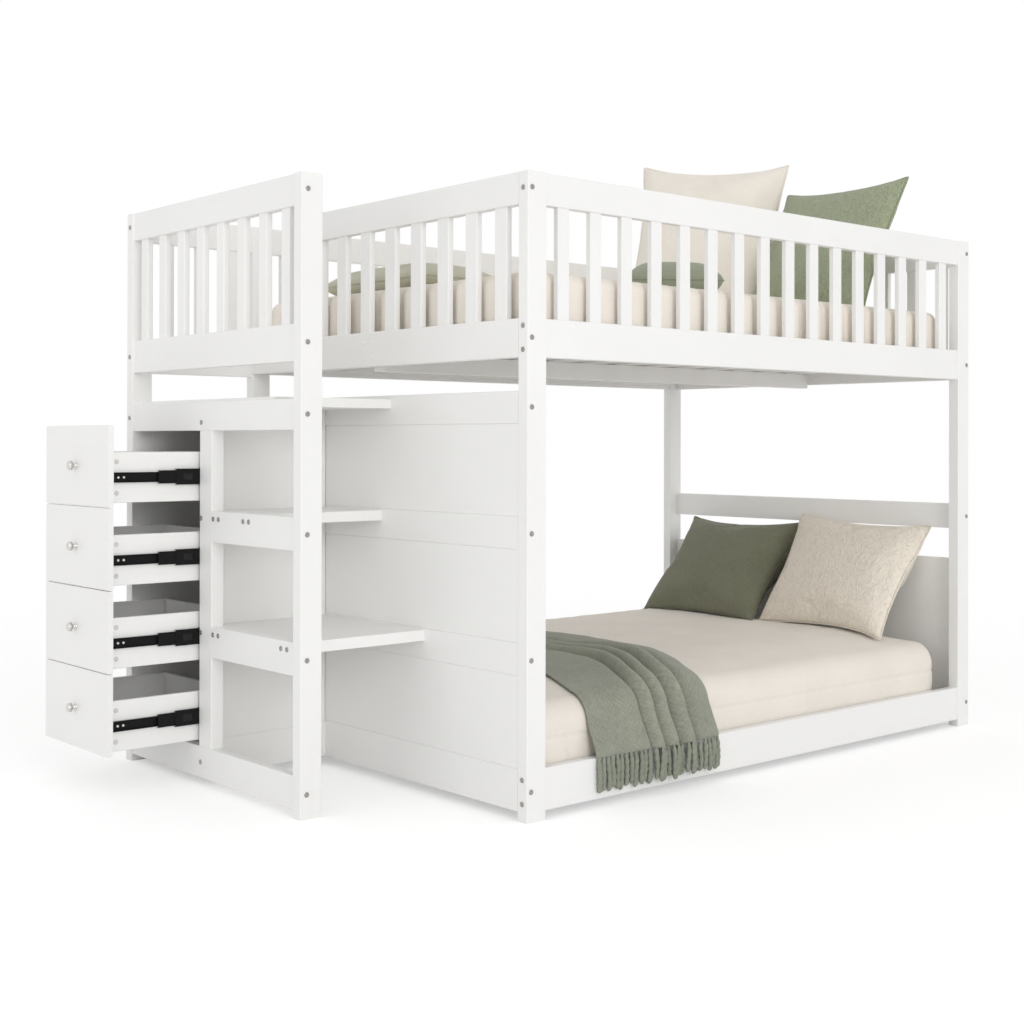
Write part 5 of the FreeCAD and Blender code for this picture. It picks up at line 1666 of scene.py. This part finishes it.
@dataclass
class Throw:
    """A woven throw across the lower mattress and down before the rail, with a fringe of tassels.

    Its two edges lean towards the head end as they cross the mattress, and the head edge bends back at the
    far side. Lengths in metres: across_bed and the edges from the near foot post's floor corner, the hem's
    route from the top of the rail's outer face. Valleys are shares of the width at the hem and the far end.
    """

    frame: Frame
    mattress: Mattress
    material: bpy.types.Material
    fringe_material: bpy.types.Material
    across_bed: tuple = (0.0, 0.07, 0.13, 0.24, 0.36, 0.58, 0.77, 1.0, 1.291)
    foot_edge: tuple = (0.243, 0.238, 0.245, 0.28, 0.305, 0.335, 0.355, 0.375, 0.4)
    head_edge: tuple = (0.724, 0.712, 0.733, 0.782, 0.829, 0.872, 0.895, 0.872, 0.845)
    hem_route: tuple = ((-0.003, -0.005), (-0.003, 0.012), (0.008, 0.034))
    bend_gap: float = 0.012
    rows: int = 170
    columns: int = 220
    route_bell: int = 9
    edge_bell: int = 17
    fold_bell: int = 5
    thickness: float = 0.0035
    clearance: float = 0.0032
    fold_height: float = 0.042
    least_lift: float = 0.0004
    crumple: float = 0.0012
    crumple_waves: tuple = (0.05, 0.2)
    valleys: tuple = (0.0, 0.44, 0.535, 0.65, 0.785, 1.0)
    far_valleys: tuple = (0.0, 0.47, 0.55, 0.61, 0.74, 1.0)
    fold_heights: tuple = (0.6, 0.85, 0.95, 1.1, 0.75)
    wander: tuple = (0.022, 0.011)
    ridge_skew: float = 1.15
    ridge_power: float = 2.3
    roll_start: float = 0.12
    roll_powers: tuple = (3.0, 16.0)
    tail_rise: float = 0.4
    tail_power: float = 2.4
    tail_drop: float = 0.9
    growth: tuple = (0.72, 0.42, 1.6)
    flattening: float = 0.56
    flat_from: float = 0.2
    flat_over: float = 0.3
    tassels: int = 34
    tassel_length: float = 0.097
    tassel_spread: tuple = (0.9, 1.04)
    tassel_radius: float = 0.0072
    tassel_rings: int = 22
    tassel_sides: int = 15
    tassel_rise: float = 0.004
    tassel_twists: float = 1.6
    sway: float = 0.005
    curl: float = 0.0022
    lean: float = 0.0015
    stand_off: float = 0.0015
    belly: float = 0.0035
    lobe: float = 0.2
    flatness: float = 0.75
    seed: int = 21

    def path(self) -> np.ndarray:
        """Where the middle of the cloth runs: from the hem up the mattress side, round its edge and across.

        Returns:
            Places across the bed and levels, evenly spaced along the cloth.
        """
        rail_low, rail_high = corners("lower_side_rails")
        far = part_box("throw")[1][1]
        bed = self.mattress
        bend = bed.rounding(24) + (bed.low[1] - self.clearance, bed.low[2] + self.clearance)
        y = np.linspace(bed.low[1] + bed.inset + self.bend_gap, far, 60)
        top = bed.level(np.stack([np.full_like(y, bed.centre[0]), y], -1)) + self.clearance
        hem = np.array(self.hem_route) + (rail_low[1], rail_high[2])
        points = np.concatenate([hem, bend, np.stack([y, top], -1)])
        length = lengths_along(points)
        path = sampled(np.linspace(0.0, length[-1], self.rows), length, points)
        return smoothed(path, self.route_bell, 0)

    def folds(self, share: np.ndarray, across: np.ndarray) -> np.ndarray:
        """Height of the folds over the cloth, as a share of the fold height.

        Valley lines part the cloth into bands and drift along it. The band at the foot side lies flat and
        rises into a roll before its valley, the one at the head side falls off in a tail, and the others are
        ridges, one less a power of the distance from their middle. They grow, then flatten along the cloth.

        Args:
            share: how far along the cloth, 0 at the hem.
            across: how far across it, 0 at the foot side.

        Returns:
            The height at each place.
        """
        near, far = np.array(self.valleys), np.array(self.far_valleys)
        slow, quick = self.wander
        wander = slow * np.sin(2.1 * share * np.pi + 0.6) + quick * np.sin(5.3 * share * np.pi)
        place = across + wander * np.sin(np.pi * across)
        lines = near + (far - near) * share[..., None]
        band = np.clip((place[..., None] >= lines).sum(-1) - 1, 0, len(near) - 2)
        start = np.take_along_axis(lines, band[..., None], -1)[..., 0]
        end = np.take_along_axis(lines, band[..., None] + 1, -1)[..., 0]
        within = np.clip((place - start) / (end - start), 0.0, 1.0)
        ridge = 1.0 - np.abs(2.0 * within ** self.ridge_skew - 1.0) ** self.ridge_power
        rising, falling = self.roll_powers
        roll = (self.roll_start + (1.0 - self.roll_start) * within ** rising) * (1.0 - within ** falling)
        climb = 1.0 - (1.0 - np.minimum(within / self.tail_rise, 1.0)) ** self.tail_power
        tail = climb * (1.0 - self.tail_drop * within ** 2.0)
        wave = np.where(band == 0, roll, np.where(band == len(near) - 2, tail, ridge))
        least, gain, pace = self.growth
        growth = least + gain * np.sin(np.pi * np.clip(share * pace, 0.0, 1.0))
        growth *= 1.0 - self.flattening * np.clip((share - self.flat_from) / self.flat_over, 0.0, 1.0)
        return np.array(self.fold_heights)[band] * wave * growth

    def surface(self) -> tuple[np.ndarray, np.ndarray]:
        """The cloth's points on a grid, and their places on the flat cloth in metres.

        Each row runs between the two edge lines, which bend along the bed, at the path's place plus the fold
        height along the path's normal.

        Returns:
            A grid of points, and a grid of flat places.
        """
        path = self.path()
        ahead = np.gradient(path, axis=0)
        ahead /= np.linalg.norm(ahead, axis=1, keepdims=True)
        normal = np.stack([-ahead[:, 1], ahead[:, 0]], -1)
        travelled = np.cumsum(np.linalg.norm(np.diff(path, axis=0, prepend=path[:1]), axis=1))
        columns = np.linspace(0.0, 1.0, self.columns)
        share, across = np.meshgrid(travelled / travelled[-1], columns, indexing="ij")
        lines = np.stack([self.foot_edge, self.head_edge], -1)
        edges = sampled(path[:, 0] - self.frame.corner[1], np.array(self.across_bed), lines)
        edges = smoothed(edges, self.edge_bell, 0)
        x = self.frame.corner[0] + edges[:, :1] + (edges[:, 1:] - edges[:, :1]) * across
        lift = smoothed(self.fold_height * self.folds(share, across), self.fold_bell, 1)
        lift += self.crumple * ripple(np.stack([x, share], -1), self.seed, self.crumple_waves)
        lift = np.maximum(lift, self.least_lift)
        points = np.stack([x, path[:, :1] + normal[:, :1] * lift, path[:, 1:] + normal[:, 1:] * lift], -1)
        flat = np.stack([across * (self.head_edge[-1] - self.foot_edge[-1]), share * travelled[-1]], -1)
        return points, flat

    def fringe(self, hem: np.ndarray) -> tuple[np.ndarray, np.ndarray]:
        """Tassels along the hem: twisted three-lobed strands that swell from a narrow root and end unevenly.

        Args:
            hem: the hem's points.

        Returns:
            Points and quads of every tassel.
        """
        draw = np.random.default_rng(self.seed)
        each = (self.tassels, 1)
        length = lengths_along(hem)
        roots = sampled((np.arange(self.tassels) + 0.5) * length[-1] / self.tassels, length, hem)
        rings, sides = self.tassel_rings, self.tassel_sides
        down = np.linspace(0.0, 1.0, rings)[None, :]
        turn = np.linspace(0.0, 2.0 * np.pi, sides, endpoint=False)
        long = self.tassel_length * draw.uniform(*self.tassel_spread, each)
        sway = draw.normal(0.0, self.sway, each)
        curl = draw.normal(0.0, self.curl, each)
        lean = self.lean * draw.normal(0.0, 1.0, each)
        x = roots[:, :1] + sway * down ** 1.3 + curl * np.sin(np.pi * 2.0 * down)
        y = roots[:, 1:2] - self.stand_off - self.belly * np.sin(np.pi * down) + lean * down
        z = roots[:, 2:] + self.tassel_rise - long * down
        end = np.clip((1.01 - down) * rings, 0.2, 1.0) ** 0.5
        body = self.tassel_radius * (0.5 + 0.5 * eased((down - 0.02) / 0.24)) * end
        twist = 2.0 * np.pi * self.tassel_twists * down + draw.uniform(0.0, 6.0, each)
        lobes = np.cos(3.0 * (turn[None, None, :] + twist[..., None]))
        radius = body[..., None] * (1.0 + self.lobe * lobes)
        depth = self.flatness * radius * np.sin(turn)
        points = np.stack([x[..., None] + radius * np.cos(turn), y[..., None] + depth,
                           np.broadcast_to(z[..., None], radius.shape)], -1)
        quads = grid_faces(rings, sides, closed_columns=True)
        shift = (np.arange(self.tassels) * rings * sides)[:, None, None]
        return points.reshape(-1, 3), (quads[None] + shift).reshape(-1, 4)

    def build(self) -> bpy.types.Object:
        """Builds the cloth and its fringe in place of the CAD solid.

        Returns:
            The finished cloth.
        """
        points, flat = self.surface()
        quads = grid_faces(self.rows, self.columns)
        cloth = new_piece("throw_cloth", points.reshape(-1, 3), quads, flat.reshape(-1, 2))
        thick = cloth.modifiers.new("thickness", "SOLIDIFY")
        thick.thickness = self.thickness
        thick.offset = 1.0
        strands, strand_faces = self.fringe(points[0])
        fringe = new_piece("throw_fringe", strands, strand_faces, strands[:, ::2])
        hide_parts("throw")
        seated(fringe, BED, self.fringe_material)
        return seated(cloth, BED, self.material)


class Berth(Enum):
    """Which mattress a pillow stands on."""

    UPPER = "upper"
    LOWER = "lower"


@dataclass(frozen=True)
class PillowPlan:
    """One leaning pillow: its CAD node, slot, finish and berth, its size, lean and the way it sits."""

    node: str
    slot: str
    finish: str
    berth: Berth
    size: tuple
    lean: float
    sits: dict


@dataclass
class Bedding:
    """Both mattresses, the pillows, the small cushions and the throw."""

    frame: Frame
    effects: Effects
    cream_quilt: Fabric = Fabric("cream_quilt", (0.885, 0.825, 0.745), Weave.PLAIN, 600.0, 0.4, 0.9, 0.0003)
    cream_linen: Fabric = Fabric("cream_linen", (0.845, 0.79, 0.72), Weave.SLUBBED, 700.0, 0.6, 0.92, 0.0003)
    pillow_linen: Fabric = Fabric(
        "pillow_linen", (0.885, 0.83, 0.75), Weave.SLUBBED, 700.0, 0.6, 0.88, 0.0004)
    cream_knit: Fabric = Fabric("cream_knit", (0.875, 0.805, 0.7), Weave.CRINKLED, 130.0, 0.8, 0.86, 0.004)
    sage_knit: Fabric = Fabric("sage_knit", (0.37, 0.41, 0.275), Weave.CRINKLED, 170.0, 1.0, 0.74, 0.004)
    deep_green: Fabric = Fabric("deep_green", (0.225, 0.23, 0.16), Weave.SLUBBED, 650.0, 1.3, 0.66, 0.0006)
    pale_sage: Fabric = Fabric("pale_sage", (0.6, 0.595, 0.475), Weave.SLUBBED, 650.0, 0.8, 0.82, 0.0005)
    grey_sage: Fabric = Fabric("grey_sage", (0.36, 0.39, 0.29), Weave.SLUBBED, 650.0, 0.9, 0.76, 0.0005)
    sage_weave: Fabric = Fabric("sage_weave", (0.385, 0.4, 0.32), Weave.TWILL, 380.0, 1.4, 0.55, 0.0012, 0.25)
    fringe: Fabric = Fabric("sage_fringe", (0.335, 0.36, 0.285), Weave.TWILL, 420.0, 1.0, 0.6, 0.0008, 0.2)
    cushion_sizes: tuple = ((0.5, 0.32, 0.15), (0.56, 0.32, 0.11))
    cushion_turns: tuple = (-43.0, 0.0)
    pillows: tuple = (
        PillowPlan("upper_cream_pillow", "cream_linen", "pillow_linen", Berth.UPPER,
                   (0.60, 0.655, 0.19), 15.0,
                   {"turn": 26.0, "roll": 3.0, "shift": -0.022, "pull": 0.028, "blunt": 0.012}),
        PillowPlan("upper_green_pillow", "sage_linen", "sage_knit", Berth.UPPER,
                   (0.56, 0.58, 0.17), 28.0, {"shift": 0.05, "pull": 0.014, "blunt": 0.012}),
        PillowPlan("lower_green_pillow", "deep_green_linen", "deep_green", Berth.LOWER,
                   (0.575, 0.48, 0.17), 40.0, {"shift": 0.014, "pull": 0.018, "blunt": 0.01}),
        PillowPlan("lower_cream_pillow", "cream_knit", "cream_knit", Berth.LOWER,
                   (0.565, 0.475, 0.17), 36.0,
                   {"twist": -4.0, "shift": 0.014, "pull": 0.012, "blunt": 0.015}))

    def leaning(self, plan: PillowPlan, mattress: Mattress) -> Pillow:
        """A pillow that stands on its mattress and leans on the head rail, over its CAD solid.

        Args:
            plan: the pillow's plan.
            mattress: what it stands on.

        Returns:
            The pillow.
        """
        low, high = corners(plan.node)
        middle = ((low[0] + high[0]) / 2, (low[1] + high[1]) / 2)
        return Pillow(plan.size, plan.lean, middle, mattress.level, float(high[0]), **plan.sits)

    def cushions(self, mattress: Mattress) -> list[Pillow]:
        """The two small cushions that lie on the upper mattress, over their node's solids.

        Args:
            mattress: what they lie on.

        Returns:
            The cushions, from the head end on.
        """
        solids = sorted(self.frame.solids("small_cushions"), key=lambda solid: -solid[:, 0].mean())
        middles = [tuple((solid.min(0) + solid.max(0))[:2] / 2) for solid in solids]
        lying = {"full": 3, "blunt": 0.08, "samples": (44, 36), "sink": 0.01}
        return [Pillow(size, 90.0, middle, mattress.level, turn=turn, **lying)
                for size, turn, middle in zip(self.cushion_sizes, self.cushion_turns, middles)]

    def build(self) -> None:
        """Builds all of it, from the mattresses up."""
        fabrics = [value for value in vars(self).values() if isinstance(value, Fabric)]
        finishes = {fabric.name: fabric.material(self.effects) for fabric in fabrics}
        quilt, linen = finishes["cream_quilt"], finishes["cream_linen"]
        upper = ChannelMattress("upper_mattress", "upper_mattress_quilted", "cream_quilt", quilt)
        lower = FittedMattress("lower_mattress", "lower_mattress_fitted", "cream_linen", linen)
        upper.build()
        lower.build()
        berths = {Berth.UPPER: upper, Berth.LOWER: lower}
        for plan in self.pillows:
            pillow = self.leaning(plan, berths[plan.berth])
            padded_piece(f"{plan.node}_filled", plan.node, [finishes[plan.finish]], [pillow])
        padded_piece("small_cushions_filled", "small_cushions",
                     [finishes["grey_sage"], finishes["pale_sage"]], self.cushions(upper))
        Throw(self.frame, lower, finishes["sage_weave"], finishes["sage_fringe"]).build()


def main() -> None:
    """Builds the sub-assemblies in order."""
    logging.basicConfig(level=logging.INFO, format="%(name)s: %(message)s")
    frame = Frame()
    effects = Effects()
    Studio().build(frame.corner)
    Woodwork(frame, effects).dress()
    Hardware(frame, effects).build()
    Bedding(frame, effects).build()
    bpy.context.view_layer.update()


if __name__ == "__main__":
    main()
